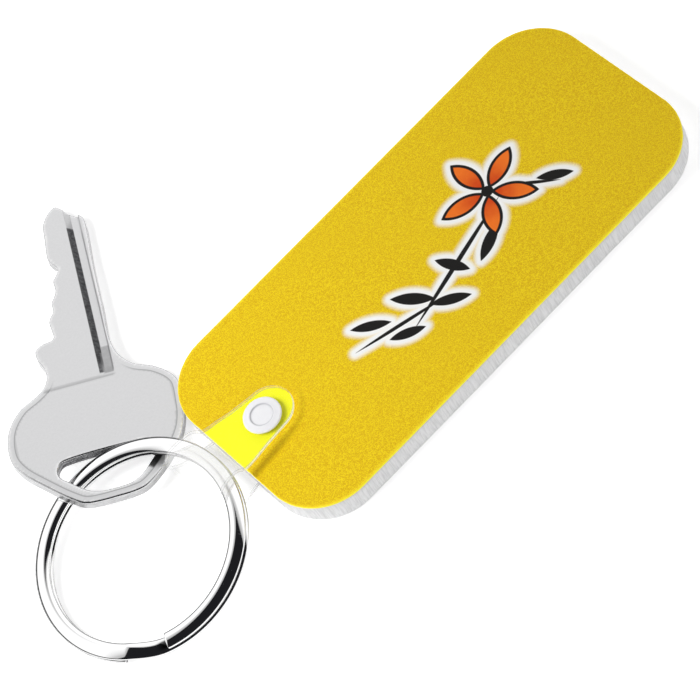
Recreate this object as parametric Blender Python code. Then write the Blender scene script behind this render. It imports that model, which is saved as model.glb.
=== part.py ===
"""Soft foam key tag with a clear strap, a split ring and a house key.

Metres, +Z up. The origin is the centre of the tag's underside, +X runs along
the tag away from the ring and +Y across it. The tag lies flat; the ring leans
from the strap's loop down to the floor and the key hangs on the ring.
"""

import math

import bmesh
import bpy
import numpy as np

MM = 0.001

# Tag
TAG_LENGTH = 74.4
TAG_WIDTH = 34.9
TAG_THICKNESS = 4.0
TAG_CORNER_RADIUS = 8.65
SKIN_THICKNESS = 0.4
FOAM_EDGE_ROUND = 0.35

# Strap: reaches are measured from the tag's end edge
STRAP_THICKNESS = 0.5
STRAP_TAB_REACH = 11.6
STRAP_LOOP_REACH = 6.7
STRAP_LOOP_TOP = 6.8
STRAP_LOWER_Z = 0.5
STRAP_MIDDLE_Y = 1.2
STRAP_TIP_WIDTH = 7.3
STRAP_EDGE_WIDTH = 9.45
STRAP_CREST_WIDTH = 10.3
STRAP_FOLD_WIDTH = 12.8
STRAP_FLARE_Y = 0.2

# Rivet
RIVET_INSET = 6.8
RIVET_Y = 1.04
RIVET_FLANGE_DIAMETER = 5.5
RIVET_FLANGE_THICKNESS = 0.5
RIVET_CAP_DIAMETER = 3.8
RIVET_CAP_HEIGHT = 0.35
RIVET_SHANK_DIAMETER = 2.8

# Split ring
RING_OUTER_RADIUS = 15.6
RING_WIRE_WIDTH = 2.3
RING_WIRE_HEIGHT = 0.97
RING_COIL_PITCH = 1.03
RING_EDGE_CLEARANCE = 1.4
RING_CENTRE_Y = 1.2
RING_TILT = 7.0
RING_STEP_ANGLE = -128.3
RING_STEP_SPAN = 22.0
RING_END_GAP = 0.7

# Key
KEY_THICKNESS = 1.6
KEY_RING_ANGLE = 66.3
KEY_WIRE_POINT = (-44.68, 0.38)
KEY_HEADING = (0.4665, 0.8845)
KEY_ROLL = 12.3
KEY_PITCH = 2.5
KEY_EDGE_BREAK = 0.12
KEY_BOW_BREAK = 0.9
KEY_BREAK_DEPTH = 0.2
KEY_OUTLINE = (
    (0.0, 0.0), (-2.15, 1.95), (-6.0, 2.43), (-8.87, 2.57), (-9.75, 2.25),
    (-11.1, 1.5), (-12.05, 1.85), (-13.03, 2.47), (-14.68, 2.45), (-15.7, 2.8),
    (-16.79, 3.4), (-18.21, 3.4), (-19.74, 4.24), (-22.9, 4.24), (-23.38, 5.9),
    (-24.2, 6.97), (-25.8, 6.95), (-27.59, 6.3), (-28.99, 6.24),
    (-30.55, 6.84), (-31.81, 8.32), (-33.31, 10.75), (-35.78, 12.6),
    (-38.21, 13.32), (-41.2, 13.3), (-43.6, 12.2), (-46.5, 9.7),
    (-49.8, 6.4), (-51.0, 4.7), (-51.3, 2.6), (-51.3, 0.5), (-51.25, -1.6),
    (-50.9, -3.5), (-49.8, -5.15), (-46.7, -8.1), (-43.4, -10.2),
    (-40.9, -10.95), (-38.4, -11.2), (-36.5, -11.3), (-35.1, -11.15), (-33.6, -10.35),
    (-31.9, -8.5), (-30.5, -5.85), (-28.61, -4.27), (-25.97, -3.5),
    (-18.77, -3.56), (-11.42, -3.62), (-3.53, -3.78), (-2.77, -3.42),
    (-0.91, -1.15),
)
KEY_HOLE = (
    (-43.4, 5.7), (-43.7, 6.8), (-44.6, 7.4), (-45.9, 7.25), (-47.2, 6.0),
    (-48.8, 4.3), (-49.45, 3.1), (-49.75, 1.9), (-49.75, -1.2), (-49.45, -2.4),
    (-48.7, -3.6), (-47.2, -5.0), (-45.9, -6.0), (-44.6, -6.2),
    (-43.7, -5.6), (-43.4, -4.5),
)
KEY_CHANNEL_TOP = ((-1.05, 0.05), (-1.85, -0.75), (-2.95, -0.75), (-3.05, 0.05))
KEY_CHANNEL_END = -30.8
KEY_CHANNEL_UNDER = (0.4, 1.7, 0.45)


def clear_scene():
    """Empties the scene."""
    for item in list(bpy.data.objects):
        bpy.data.objects.remove(item, do_unlink=True)


def make_material(name, colour, roughness, metallic=0.0, alpha=1.0):
    """A plain Principled material."""
    material = bpy.data.materials.new(name)
    material.use_nodes = True
    shader = material.node_tree.nodes["Principled BSDF"]
    shader.inputs["Base Color"].default_value = (*colour, 1.0)
    shader.inputs["Roughness"].default_value = roughness
    shader.inputs["Metallic"].default_value = metallic
    shader.inputs["Alpha"].default_value = alpha
    material.diffuse_color = (*colour, alpha)
    return material


def make_object(name, points, faces, material=None):
    """A mesh object from points in millimetres, with outward normals."""
    mesh = bpy.data.meshes.new(name)
    mesh.from_pydata([tuple(float(c) * MM for c in p) for p in points], [], faces)
    work = bmesh.new()
    work.from_mesh(mesh)
    bmesh.ops.recalc_face_normals(work, faces=work.faces)
    work.to_mesh(mesh)
    work.free()
    if material is not None:
        mesh.materials.append(material)
    item = bpy.data.objects.new(name, mesh)
    bpy.context.collection.objects.link(item)
    return item


def layered(name, layers, material=None):
    """A closed body through equal-count outlines, one above the other."""
    count = len(layers[0])
    points = [p for layer in layers for p in layer]
    faces = [list(range(count))[::-1]]
    for level in range(len(layers) - 1):
        base = level * count
        for i in range(count):
            j = (i + 1) % count
            faces.append([base + i, base + j, base + count + j, base + count + i])
    last = (len(layers) - 1) * count
    faces.append([last + i for i in range(count)])
    return make_object(name, points, faces, material)


def prism(name, outline, low, high, material=None):
    """An upright prism over a plan outline."""
    return layered(name, [[(x, y, z) for x, y in outline] for z in (low, high)], material)


def disc(name, x, y, radius, low, high, sides=48, material=None):
    """An upright cylinder."""
    outline = [(x + radius * math.cos(a), y + radius * math.sin(a))
               for a in (2 * math.pi * i / sides for i in range(sides))]
    return prism(name, outline, low, high, material)


def combine(target, tool, operation):
    """Applies an exact Boolean and removes the tool."""
    tool.hide_render = True
    tool.display_type = "WIRE"
    modifier = target.modifiers.new("combine", "BOOLEAN")
    modifier.operation = operation
    modifier.solver = "EXACT"
    modifier.object = tool
    bpy.context.view_layer.update()
    graph = bpy.context.evaluated_depsgraph_get()
    mesh = bpy.data.meshes.new_from_object(target.evaluated_get(graph))
    target.modifiers.remove(modifier)
    old = target.data
    target.data = mesh
    bpy.data.meshes.remove(old)
    bpy.data.objects.remove(tool, do_unlink=True)


def tag_outline(inset=0.0, steps=12):
    """The tag's rounded rectangle in plan."""
    radius = TAG_CORNER_RADIUS - inset
    half_x = TAG_LENGTH / 2 - TAG_CORNER_RADIUS
    half_y = TAG_WIDTH / 2 - TAG_CORNER_RADIUS
    outline = []
    for quarter, (sx, sy) in enumerate(((1, 1), (-1, 1), (-1, -1), (1, -1))):
        for i in range(steps + 1):
            a = math.pi / 2 * (quarter + i / steps)
            outline.append((sx * half_x + radius * math.cos(a), sy * half_y + radius * math.sin(a)))
    return outline


def strap_path():
    """Stations along the strap: centre x, centre z, lowest y and highest y."""
    half = STRAP_THICKNESS / 2
    top = TAG_THICKNESS + half
    low = STRAP_LOWER_Z + half
    rise = STRAP_LOOP_TOP - half - top
    drop = STRAP_LOOP_TOP - half - low
    edge = -TAG_LENGTH / 2
    tip = edge + STRAP_TAB_REACH
    reach = STRAP_LOOP_REACH - half
    # width and middle along the strap: tab, tag edge, crest of the loop, fold
    widths = (STRAP_TIP_WIDTH, STRAP_EDGE_WIDTH, STRAP_CREST_WIDTH, STRAP_FOLD_WIDTH)
    middles = (STRAP_MIDDLE_Y, STRAP_MIDDLE_Y + 2 * STRAP_FLARE_Y,
               STRAP_MIDDLE_Y + 0.5 * STRAP_FLARE_Y, STRAP_MIDDLE_Y + STRAP_FLARE_Y)

    def station(x, z, along):
        width = np.interp(along, (0, 1, 2, 3), widths)
        middle = np.interp(along, (0, 1, 2, 3), middles)
        return (x, z, middle - width / 2, middle + width / 2)

    def tab(z):
        radius = STRAP_TIP_WIDTH / 2
        rows = []
        for i in range(10):
            a = math.pi / 2 * (i + 0.9) / 9.9
            rows.append((tip - radius * (1 - math.cos(a)), z,
                         STRAP_MIDDLE_Y - radius * math.sin(a), STRAP_MIDDLE_Y + radius * math.sin(a)))
        return rows

    stations = tab(top)
    stations.append(station(edge + STRAP_TAB_REACH * 0.36, top, 0.42))
    stations.append(station(edge + STRAP_TAB_REACH * 0.155, top, 0.85))
    for out, up, along in (
            (-0.075, 0, 0.98), (-0.01, 0.026, 1.0), (0.047, 0.18, 1.15), (0.085, 0.43, 1.3),
            (0.132, 0.7, 1.5), (0.21, 0.89, 1.7), (0.326, 0.99, 1.9), (0.48, 1.0, 2.0)):
        stations.append(station(edge - reach * out, top + rise * up, along))
    for out, up, along in (
            (0.645, 0.985, 2.15), (0.8, 0.912, 2.35), (0.912, 0.755, 2.55), (0.969, 0.552, 2.75),
            (1.0, 0.362, 2.9), (0.997, 0.233, 3.0), (0.953, 0.129, 3.0), (0.868, 0.048, 2.95),
            (0.752, 0.007, 2.8), (0.597, 0.0, 2.6), (0.0, 0.0, 1.9)):
        stations.append(station(edge - reach * out, low + drop * up, along))
    stations.append(station(edge + STRAP_TAB_REACH * 0.36, low, 0.6))
    stations.extend(tab(low)[::-1])
    return stations


def rivet_x():
    """Where the rivet goes through the tag."""
    return -TAG_LENGTH / 2 + RIVET_INSET


def build_strap(material):
    """One clear sheet folded round the ring, with two rivet holes."""
    stations = np.array(strap_path())
    line = stations[:, :2]
    step = np.gradient(line, axis=0)
    step /= np.linalg.norm(step, axis=1)[:, None]
    normal = np.column_stack([step[:, 1], -step[:, 0]])
    half = STRAP_THICKNESS / 2
    points, faces = [], []
    for (x, z, y0, y1), (nx, nz) in zip(stations, normal):
        for y, side in ((y0, -1), (y1, -1), (y1, 1), (y0, 1)):
            points.append((x + side * half * nx, y, z + side * half * nz))
    for i in range(len(stations) - 1):
        for k in range(4):
            m = (k + 1) % 4
            faces.append([4 * i + k, 4 * i + m, 4 * i + 4 + m, 4 * i + 4 + k])
    last = 4 * (len(stations) - 1)
    faces.append([3, 2, 1, 0])
    faces.append([last, last + 1, last + 2, last + 3])
    strap = make_object("strap", points, faces, material)
    combine(strap, disc("strap_hole", rivet_x(), RIVET_Y, RIVET_SHANK_DIAMETER / 2, -2, 9), "DIFFERENCE")
    return strap


def strap_recess():
    """Plan outline of the pressed recess under the tag."""
    stations = [s for s in strap_path() if s[1] < TAG_THICKNESS / 2 and s[0] > -TAG_LENGTH / 2 - 0.2]
    left = [(x, y0) for x, z, y0, y1 in stations]
    right = [(x, y1) for x, z, y0, y1 in stations]
    lead = -TAG_LENGTH / 2 - 1.0
    return [(lead, left[0][1])] + left + right[::-1] + [(lead, right[0][1])]


def build_tag(foam_material, skin_material):
    """The foam slab and its face skin."""
    top = TAG_THICKNESS - SKIN_THICKNESS
    layers = []
    for i in range(4):
        a = math.pi / 2 * i / 3
        inset = FOAM_EDGE_ROUND * (1 - math.sin(a))
        layers.append([(x, y, FOAM_EDGE_ROUND * (1 - math.cos(a))) for x, y in tag_outline(inset)])
    layers.append([(x, y, top) for x, y in tag_outline()])
    foam = layered("foam_core", layers, foam_material)
    combine(foam, prism("recess", strap_recess(), -1, STRAP_LOWER_Z + STRAP_THICKNESS), "DIFFERENCE")
    combine(foam, disc("seat", rivet_x(), RIVET_Y, RIVET_FLANGE_DIAMETER / 2, -1, STRAP_LOWER_Z), "DIFFERENCE")
    combine(foam, disc("bore", rivet_x(), RIVET_Y, RIVET_SHANK_DIAMETER / 2, -1, 9), "DIFFERENCE")
    skin = prism("front_skin", tag_outline(), top, TAG_THICKNESS, skin_material)
    combine(skin, disc("bore", rivet_x(), RIVET_Y, RIVET_SHANK_DIAMETER / 2, -1, 9), "DIFFERENCE")
    return foam, skin


def revolve(name, profile, x, y, sides, material):
    """A closed solid of revolution about an upright axis, profile (radius, z)."""
    layers = []
    for radius, z in profile:
        layers.append([(x + radius * math.cos(a), y + radius * math.sin(a), z)
                       for a in (2 * math.pi * i / sides for i in range(sides))])
    return layered(name, layers, material)


def build_rivet(material):
    """The two halves of the plastic rivet."""
    flange = RIVET_FLANGE_DIAMETER / 2
    cap = RIVET_CAP_DIAMETER / 2
    shank = RIVET_SHANK_DIAMETER / 2
    seat = TAG_THICKNESS + STRAP_THICKNESS
    rim = seat + RIVET_FLANGE_THICKNESS
    post = revolve("rivet_post", (
        (shank, 0.05), (shank, seat), (flange, seat), (flange, rim - 0.2),
        (flange - 0.06, rim - 0.06), (flange - 0.2, rim), (cap + 0.28, rim),
        (cap + 0.1, rim + 0.05), (cap, rim + RIVET_CAP_HEIGHT - 0.12),
        (cap - 0.15, rim + RIVET_CAP_HEIGHT), (cap - 0.45, rim + RIVET_CAP_HEIGHT),
        (cap - 0.6, rim + RIVET_CAP_HEIGHT - 0.1), (0.3, rim + RIVET_CAP_HEIGHT - 0.12),
    ), rivet_x(), RIVET_Y, 48, material)
    washer = revolve("rivet_cap", (
        (flange - 0.15, 0.0), (flange, 0.15), (flange, STRAP_LOWER_Z),
    ), rivet_x(), RIVET_Y, 48, material)
    combine(washer, disc("bore", rivet_x(), RIVET_Y, shank, -1, 2), "DIFFERENCE")
    return post, washer


def ring_frame():
    """Centre and axes of the tilted ring, in millimetres."""
    tilt = math.radians(RING_TILT)
    mean = RING_OUTER_RADIUS - RING_WIRE_WIDTH / 2
    half = (RING_COIL_PITCH + RING_WIRE_HEIGHT) / 2
    height = half * math.cos(tilt) + (RING_OUTER_RADIUS - 0.4) * math.sin(tilt) + 0.01
    middle = -TAG_LENGTH / 2 - RING_EDGE_CLEARANCE - RING_OUTER_RADIUS * math.cos(tilt)
    centre = np.array([middle, RING_CENTRE_Y, height])
    ex = np.array([math.cos(tilt), 0.0, math.sin(tilt)])
    ey = np.array([0.0, 1.0, 0.0])
    return centre, ex, ey, np.cross(ex, ey), mean


def build_ring(material):
    """Two wound coils of one wire, with the step between them and cut ends."""
    centre, ex, ey, ez, mean = ring_frame()
    half_w, half_h = RING_WIRE_WIDTH / 2, RING_WIRE_HEIGHT / 2
    section = []
    for (sw, sh, start) in ((1, 1, 0), (-1, 1, 90), (-1, -1, 180), (1, -1, 270)):
        rw, rh = half_w * 0.42, half_h * 0.72
        for i in range(4):
            a = math.radians(start + 30 * i)
            section.append((sw * (half_w - rw) + rw * math.cos(a), sh * (half_h - rh) + rh * math.sin(a)))
    turn = 360.0
    start = RING_STEP_ANGLE + RING_STEP_SPAN / 2 + RING_END_GAP
    # angle runs from the upper cut end, once round on top, through the step,
    # then once round underneath to the lower cut end
    upper_end = start
    step_start = upper_end + turn - RING_STEP_SPAN - 2 * RING_END_GAP
    step_end = step_start + RING_STEP_SPAN
    lower_end = step_end + turn - RING_STEP_SPAN - 2 * RING_END_GAP
    angles = list(np.linspace(upper_end, step_start, 121)) + \
        list(np.linspace(step_start, step_end, 17)[1:]) + \
        list(np.linspace(step_end, lower_end, 121)[1:])
    points, faces = [], []
    for angle in angles:
        share = min(max((angle - step_start) / (step_end - step_start), 0.0), 1.0)
        drop = 0.5 - 0.5 * math.cos(math.pi * share)
        level = RING_COIL_PITCH * (0.5 - drop)
        a = math.radians(angle)
        radial = ex * math.cos(a) + ey * math.sin(a)
        for w, h in section:
            points.append(centre + radial * (mean + w) + ez * (level + h))
    count = len(section)
    for i in range(len(angles) - 1):
        for k in range(count):
            m = (k + 1) % count
            faces.append([count * i + k, count * i + m, count * i + count + m, count * i + count + k])
    last = count * (len(angles) - 1)
    faces.append(list(range(count))[::-1])
    faces.append([last + k for k in range(count)])
    return make_object("split_ring", points, faces, material)


def smooth_outline(points, spacing):
    """Dense closed curve through the points, Catmull-Rom by chord length."""
    pts = np.array(points, float)
    dense = []
    count = len(pts)
    for i in range(count):
        p0, p1, p2, p3 = (pts[(i + k - 1) % count] for k in range(4))
        t1 = math.sqrt(np.linalg.norm(p1 - p0))
        t2 = t1 + math.sqrt(np.linalg.norm(p2 - p1))
        t3 = t2 + math.sqrt(np.linalg.norm(p3 - p2))
        steps = max(1, int(round(np.linalg.norm(p2 - p1) / spacing)))
        for k in range(steps):
            t = t1 + (t2 - t1) * k / steps
            a1 = p0 * (t1 - t) / t1 + p1 * t / t1
            a2 = p1 * (t2 - t) / (t2 - t1) + p2 * (t - t1) / (t2 - t1)
            a3 = p2 * (t3 - t) / (t3 - t2) + p3 * (t - t2) / (t3 - t2)
            b1 = a1 * (t2 - t) / t2 + a2 * t / t2
            b2 = a2 * (t3 - t) / (t3 - t1) + a3 * (t - t1) / (t3 - t1)
            dense.append(b1 * (t2 - t) / (t2 - t1) + b2 * (t - t1) / (t2 - t1))
    return np.array(dense)


def key_frame():
    """Tip corner of the key's underside and its axes, in millimetres.

    The wire's centre line passes through the key's middle plane at a point of the open bow."""
    roll, pitch = math.radians(KEY_ROLL), math.radians(KEY_PITCH)
    hx, hy = KEY_HEADING
    along = np.array([hx * math.cos(pitch), hy * math.cos(pitch), -math.sin(pitch)])
    across = np.array([-hy * math.cos(roll), hx * math.cos(roll), math.sin(roll)])
    across -= along * (along @ across)
    across /= np.linalg.norm(across)
    up = np.cross(along, across)
    centre, ex, ey, ez, mean = ring_frame()
    a = math.radians(KEY_RING_ANGLE)
    wire = centre + mean * (ex * math.cos(a) + ey * math.sin(a))
    origin = wire - along * KEY_WIRE_POINT[0] - across * KEY_WIRE_POINT[1] - up * KEY_THICKNESS / 2
    return origin, along, across, up


def build_key(material):
    """The key: cut blade with a milled channel, shoulder and open bow."""
    outline = smooth_outline(KEY_OUTLINE, 0.55)
    ahead, behind = np.roll(outline, -1, axis=0), np.roll(outline, 1, axis=0)
    tangent = ahead - behind
    tangent /= np.linalg.norm(tangent, axis=1)[:, None]
    inward = np.column_stack([-tangent[:, 1], tangent[:, 0]])
    area = np.sum(outline[:, 0] * ahead[:, 1] - outline[:, 1] * ahead[:, 0])
    inward *= 1 if area > 0 else -1
    share = np.clip((-29.0 - outline[:, 0]) / 4.0, 0, 1)[:, None]
    share = share * share * (3 - 2 * share)
    depth = KEY_EDGE_BREAK + (KEY_BREAK_DEPTH - KEY_EDGE_BREAK) * share[:, 0]
    inner = outline + inward * (KEY_EDGE_BREAK + (KEY_BOW_BREAK - KEY_EDGE_BREAK) * share)
    t = KEY_THICKNESS
    layers = [
        [(x, y, 0.0) for x, y in inner],
        [(x, y, d) for (x, y), d in zip(outline, depth)],
        [(x, y, t - d) for (x, y), d in zip(outline, depth)],
        [(x, y, t) for x, y in inner],
    ]
    key = layered("house_key", layers, material)
    hole = smooth_outline(KEY_HOLE, 0.6)
    combine(key, prism("hole", [tuple(p) for p in hole], -1, t + 1), "DIFFERENCE")
    section = [(y, t + z) for y, z in KEY_CHANNEL_TOP]
    combine(key, layered("channel", [[(x, y, z) for y, z in section] for x in (2.0, KEY_CHANNEL_END)]), "DIFFERENCE")
    y0, y1, deep = KEY_CHANNEL_UNDER
    combine(key, layered("channel", [[(x, y0, -1), (x, y1, -1), (x, y1, deep), (x, y0, deep)]
                                     for x in (2.0, KEY_CHANNEL_END + 1.5)]), "DIFFERENCE")
    origin, along, across, up = key_frame()
    for vertex in key.data.vertices:
        x, y, z = (c / MM for c in vertex.co)
        vertex.co = (origin + along * x + across * y + up * z) * MM
    return key


def main():
    clear_scene()
    bpy.context.scene.unit_settings.system = "METRIC"
    foam = make_material("white_foam", (0.86, 0.86, 0.84), 0.85)
    vinyl = make_material("yellow_vinyl", (0.89, 0.58, 0.02), 0.62)
    clear = make_material("clear_pvc", (0.95, 0.96, 0.97), 0.12, alpha=0.3)
    white = make_material("white_plastic", (0.88, 0.88, 0.88), 0.3)
    chrome = make_material("nickel_chrome", (0.82, 0.82, 0.83), 0.08, metallic=1.0)
    steel = make_material("key_steel", (0.68, 0.68, 0.68), 0.32, metallic=1.0)
    build_tag(foam, vinyl)
    build_strap(clear)
    build_rivet(white)
    build_ring(chrome)
    build_key(steel)


main()
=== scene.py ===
"""Looks of the soft foam key tag: tag with its face skin, clear strap, rivet, split ring and key.

The shapes are surfaces worked out on grids with numpy, in millimetres in the
tag's own frame, and are put into their meshes in metres. The frame that the
pieces ride on comes from the packed part.
"""

import math
from functools import reduce

import bmesh
import bpy
import numpy as np
from mathutils import Matrix, Vector
from mathutils.geometry import delaunay_2d_cdt


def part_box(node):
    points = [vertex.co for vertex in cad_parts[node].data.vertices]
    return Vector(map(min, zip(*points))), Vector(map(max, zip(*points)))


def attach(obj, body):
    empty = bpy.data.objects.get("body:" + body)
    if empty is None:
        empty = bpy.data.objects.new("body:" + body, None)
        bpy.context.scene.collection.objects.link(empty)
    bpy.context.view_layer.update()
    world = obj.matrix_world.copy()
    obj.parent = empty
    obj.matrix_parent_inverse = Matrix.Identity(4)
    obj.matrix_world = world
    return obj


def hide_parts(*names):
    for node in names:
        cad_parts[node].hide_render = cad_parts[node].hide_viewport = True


bl_info = {
    "name": "Foam key tag",
    "version": (1, 0, 0),
    "blender": (4, 5, 0),
    "location": "3D View > Sidebar > Key tag",
    "description": "Builds the visible pieces of a foam key tag round its packed part",
    "category": "Object",
}

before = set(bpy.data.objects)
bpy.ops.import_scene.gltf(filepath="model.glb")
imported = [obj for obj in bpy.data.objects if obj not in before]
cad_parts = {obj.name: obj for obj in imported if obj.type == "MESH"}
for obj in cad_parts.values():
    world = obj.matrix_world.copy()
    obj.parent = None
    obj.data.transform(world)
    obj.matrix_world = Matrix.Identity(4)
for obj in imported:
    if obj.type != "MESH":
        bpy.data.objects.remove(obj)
MM = 0.001

FOAM_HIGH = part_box("foam_core")[1]
SKIN_LOW, SKIN_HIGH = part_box("front_skin")
STRAP_LOW, STRAP_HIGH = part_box("strap")

# strap: out past the tag's end as a share of the loop's reach, up as a share
# of its rise above the face or its drop to the underside, place along the strap
LOOP_UPPER = (
    (-0.075, 0.0, 0.98), (-0.01, 0.026, 1.0), (0.047, 0.18, 1.15), (0.085, 0.43, 1.3),
    (0.132, 0.7, 1.5), (0.21, 0.89, 1.7), (0.326, 0.99, 1.9), (0.48, 1.0, 2.0),
)
LOOP_LOWER = (
    (0.645, 0.985, 2.15), (0.8, 0.912, 2.35), (0.912, 0.755, 2.55), (0.969, 0.552, 2.75),
    (1.0, 0.362, 2.9), (0.997, 0.233, 3.0), (0.953, 0.129, 3.0), (0.868, 0.048, 2.95),
    (0.752, 0.007, 2.8), (0.597, 0.0, 2.6), (0.0, 0.0, 1.9),
)

# key, in its own plane: x along the blade from the tip, y across, millimetres
KEY_OUTLINE = (
    (0.0, 0.0), (-2.15, 1.95), (-6.0, 2.43), (-8.87, 2.57), (-9.75, 2.25),
    (-11.1, 1.5), (-12.05, 1.85), (-13.03, 2.47), (-14.68, 2.45), (-15.7, 2.8),
    (-16.79, 3.4), (-18.21, 3.4), (-19.74, 4.24), (-22.9, 4.24), (-23.38, 5.9),
    (-24.2, 6.97), (-25.8, 6.95), (-27.59, 6.3), (-28.99, 6.24),
    (-30.55, 6.84), (-31.81, 8.32), (-33.31, 10.75), (-35.78, 12.6),
    (-38.21, 13.32), (-41.2, 13.3), (-43.6, 12.2), (-46.5, 9.7),
    (-49.8, 6.4), (-51.0, 4.7), (-51.3, 2.6), (-51.3, 0.5), (-51.25, -1.6),
    (-50.9, -3.5), (-49.8, -5.15), (-46.7, -8.1), (-43.4, -10.2),
    (-40.9, -10.95), (-38.4, -11.2), (-36.5, -11.3), (-35.1, -11.15), (-33.6, -10.35),
    (-31.9, -8.5), (-30.5, -5.85), (-28.61, -4.27), (-25.97, -3.5),
    (-18.77, -3.56), (-11.42, -3.62), (-3.53, -3.78), (-2.77, -3.42),
    (-0.91, -1.15),
)
KEY_HOLE = (
    (-43.4, 5.7), (-43.7, 6.8), (-44.6, 7.4), (-45.9, 7.25), (-47.2, 6.0),
    (-48.8, 4.3), (-49.45, 3.1), (-49.75, 1.9), (-49.75, -1.2), (-49.45, -2.4),
    (-48.7, -3.6), (-47.2, -5.0), (-45.9, -6.0), (-44.6, -6.2),
    (-43.7, -5.6), (-43.4, -4.5),
)
# key plan: extra rows of points along the milled channel's walls, where the
# coined bow ends, and the place of the facet at the hole's rim, painted dark as a reflection
CHANNEL_ROWS = (-3.7, -3.05, -3.0, -2.95, -2.4, -1.9, -1.85, -1.8, -1.45, -1.1, -1.05, -1.0, -0.6)
BOW_END = -29.0
FACET_X, FACET_Y = -46.2, -5.9

# sprig, in the tag's plan: middle of the flower, then x, y, degrees, half
# length and half width of each leaf and stem, millimetres
FLOWER = (12.5, 1.0)
FLOWER_REACH = 3.9
LEAVES_AND_STEMS = (
    (7.2, -4.9, 24, 3.1, 0.85), (1.6, -3.3, 112, 2.7, 0.8), (-2.2, -7.0, -38, 2.9, 0.8),
    (-5.4, -2.6, 128, 3.2, 0.9), (-9.4, -5.9, -30, 2.6, 0.75), (-11.8, -0.9, 140, 2.9, 0.75),
    (19.9, -4.9, -42, 2.6, 0.75),
    (2.2, -3.6, 14, 11.2, 0.34), (-9.0, -4.2, -16, 7.2, 0.28), (17.0, -3.0, -48, 4.2, 0.26),
)
WHITE = (1, 1, 1, 1)


# settings

def screen(red, green, blue):
    """Linear shares from 0 to 255 screen values: the standard display curve undone."""
    shares = [value / 255 for value in (red, green, blue)]
    return tuple(s / 12.92 if s <= 0.04045 else ((s + 0.055) / 1.055) ** 2.4 for s in shares)


def srgb(red, green, blue):
    """The same as a node's colour."""
    return (*screen(red, green, blue), 1.0)


def number(name, description, default, **limits):
    """A plain number of 0 or more."""
    return bpy.props.FloatProperty(
        name=name, description=description, default=default, min=0, **limits)


def length(name, description, default):
    """A length, kept in metres."""
    return bpy.props.FloatProperty(
        name=name, description=description, default=default, unit="LENGTH")


def angle(name, description, degrees):
    """An angle, kept in radians."""
    return bpy.props.FloatProperty(
        name=name, description=description, default=math.radians(degrees), unit="ROTATION",
        subtype="ANGLE")


def vector(name, description, default, **kind):
    """A place or a direction."""
    return bpy.props.FloatVectorProperty(
        name=name, description=description, default=default, size=3, precision=6, **kind)


def tint(name, description, *values):
    """A colour from 0 to 255 screen values."""
    return bpy.props.FloatVectorProperty(
        name=name, description=description, default=screen(*values), size=3, subtype="COLOR",
        min=0, max=1)


class KeytagTag(bpy.types.PropertyGroup):
    """Sizes and colours of the foam slab and its face skin."""

    length: length("Length", "Tag along the ring's direction", SKIN_HIGH.x - SKIN_LOW.x)
    width: length("Width", "Tag across", SKIN_HIGH.y - SKIN_LOW.y)
    corner: length("Corner radius", "Plan radius of the four corners", 0.00865)
    foam_edge: length("Foam edge", "Rounding along the underside's edge", 0.00035)
    pucker: length("Pucker", "Height of the ridge that the strap presses up beside it", 0.00055)
    vinyl: tint("Vinyl", "Face skin colour", 251, 212, 24)
    # painted light: the lighter lemon where the strap lies stands for the brighter light there
    painted_light_under_strap: tint("Vinyl under strap", "Face colour where the clear strap lies on it", 255, 255, 6)
    foam: tint("Foam", "Closed-cell foam colour", 248, 248, 249)


class KeytagPrint(bpy.types.PropertyGroup):
    """Colours of the printed sprig."""

    ink: tint("Dark ink", "Leaves, stems and petal rims", 18, 17, 16)
    petal: tint("Petals", "Petal colour at the tips", 246, 120, 34)
    petal_deep: tint("Petal base", "Petal colour near the middle", 214, 72, 16)
    halo: tint("Halo", "Soft white printed round the motif", 252, 252, 250)
    halo_width: length("Halo width", "How far the white goes past the ink", 0.0014)


class KeytagStrap(bpy.types.PropertyGroup):
    """Sizes of the clear strap and its rivet, and how much the sheet hides."""

    thickness: length("Thickness", "Clear sheet", 0.0005)
    tab_reach: length("Tab reach", "From the tag's end to the tab's tip",
                      STRAP_HIGH.x - SKIN_LOW.x)
    loop_reach: length("Loop reach", "From the tag's end out to the fold",
                       SKIN_LOW.x - STRAP_LOW.x)
    tip_width: length("Tab width", "Strap at the round tab", 0.0073)
    edge_width: length("Width at the tag's end", "Strap where it leaves the tag", 0.00945)
    crest_width: length("Width over the ring", "Strap at the top of its loop", 0.0103)
    fold_width: length("Width at the fold", "Strap at the end of its loop",
                       STRAP_HIGH.y - STRAP_LOW.y)
    middle: length("Middle", "The strap's own middle line, across the tag", 0.0012)
    flare: length("Flare", "How far the middle drifts across along the loop", 0.0002)
    rivet_inset: length("Rivet inset", "From the tag's end to the rivet", 0.0068)
    rivet_middle: length("Rivet middle", "The rivet's place across the tag", 0.00104)
    flange: length("Rivet diameter", "Across the rivet's flange", 0.0055)
    milk: number("Milkiness", "How much one free layer of the sheet hides", 0.13,
                 max=1, subtype="FACTOR")
    rim: number("Rim", "How much the cut rim of the sheet hides", 0.6, max=1, subtype="FACTOR")


class KeytagRing(bpy.types.PropertyGroup):
    """Sizes of the split ring."""

    radius: length("Outer radius", "Ring, outside", 0.0156)
    wire_width: length("Wire width", "Wire, along the ring's radius", 0.0023)
    wire_height: length("Wire height", "One coil's height", 0.00097)
    pitch: length("Coil pitch", "From coil to coil", 0.00103)
    centre: vector("Centre", "The ring's middle, between its coils",
                   (-0.0540837, 0.0012, 0.002855), unit="LENGTH", subtype="TRANSLATION")
    tilt: angle("Tilt", "Slope of the ring from the loop to the floor", 7)
    lean: angle("Section lean", "How far the wire's section leans down outwards", 6)
    step_angle: angle("Step", "Where the wire drops from coil to coil", -128.3)
    step_span: angle("Step span", "How far round the drop goes", 22)
    end_gap: angle("End gap", "From the drop to each cut end", 0.7)


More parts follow.
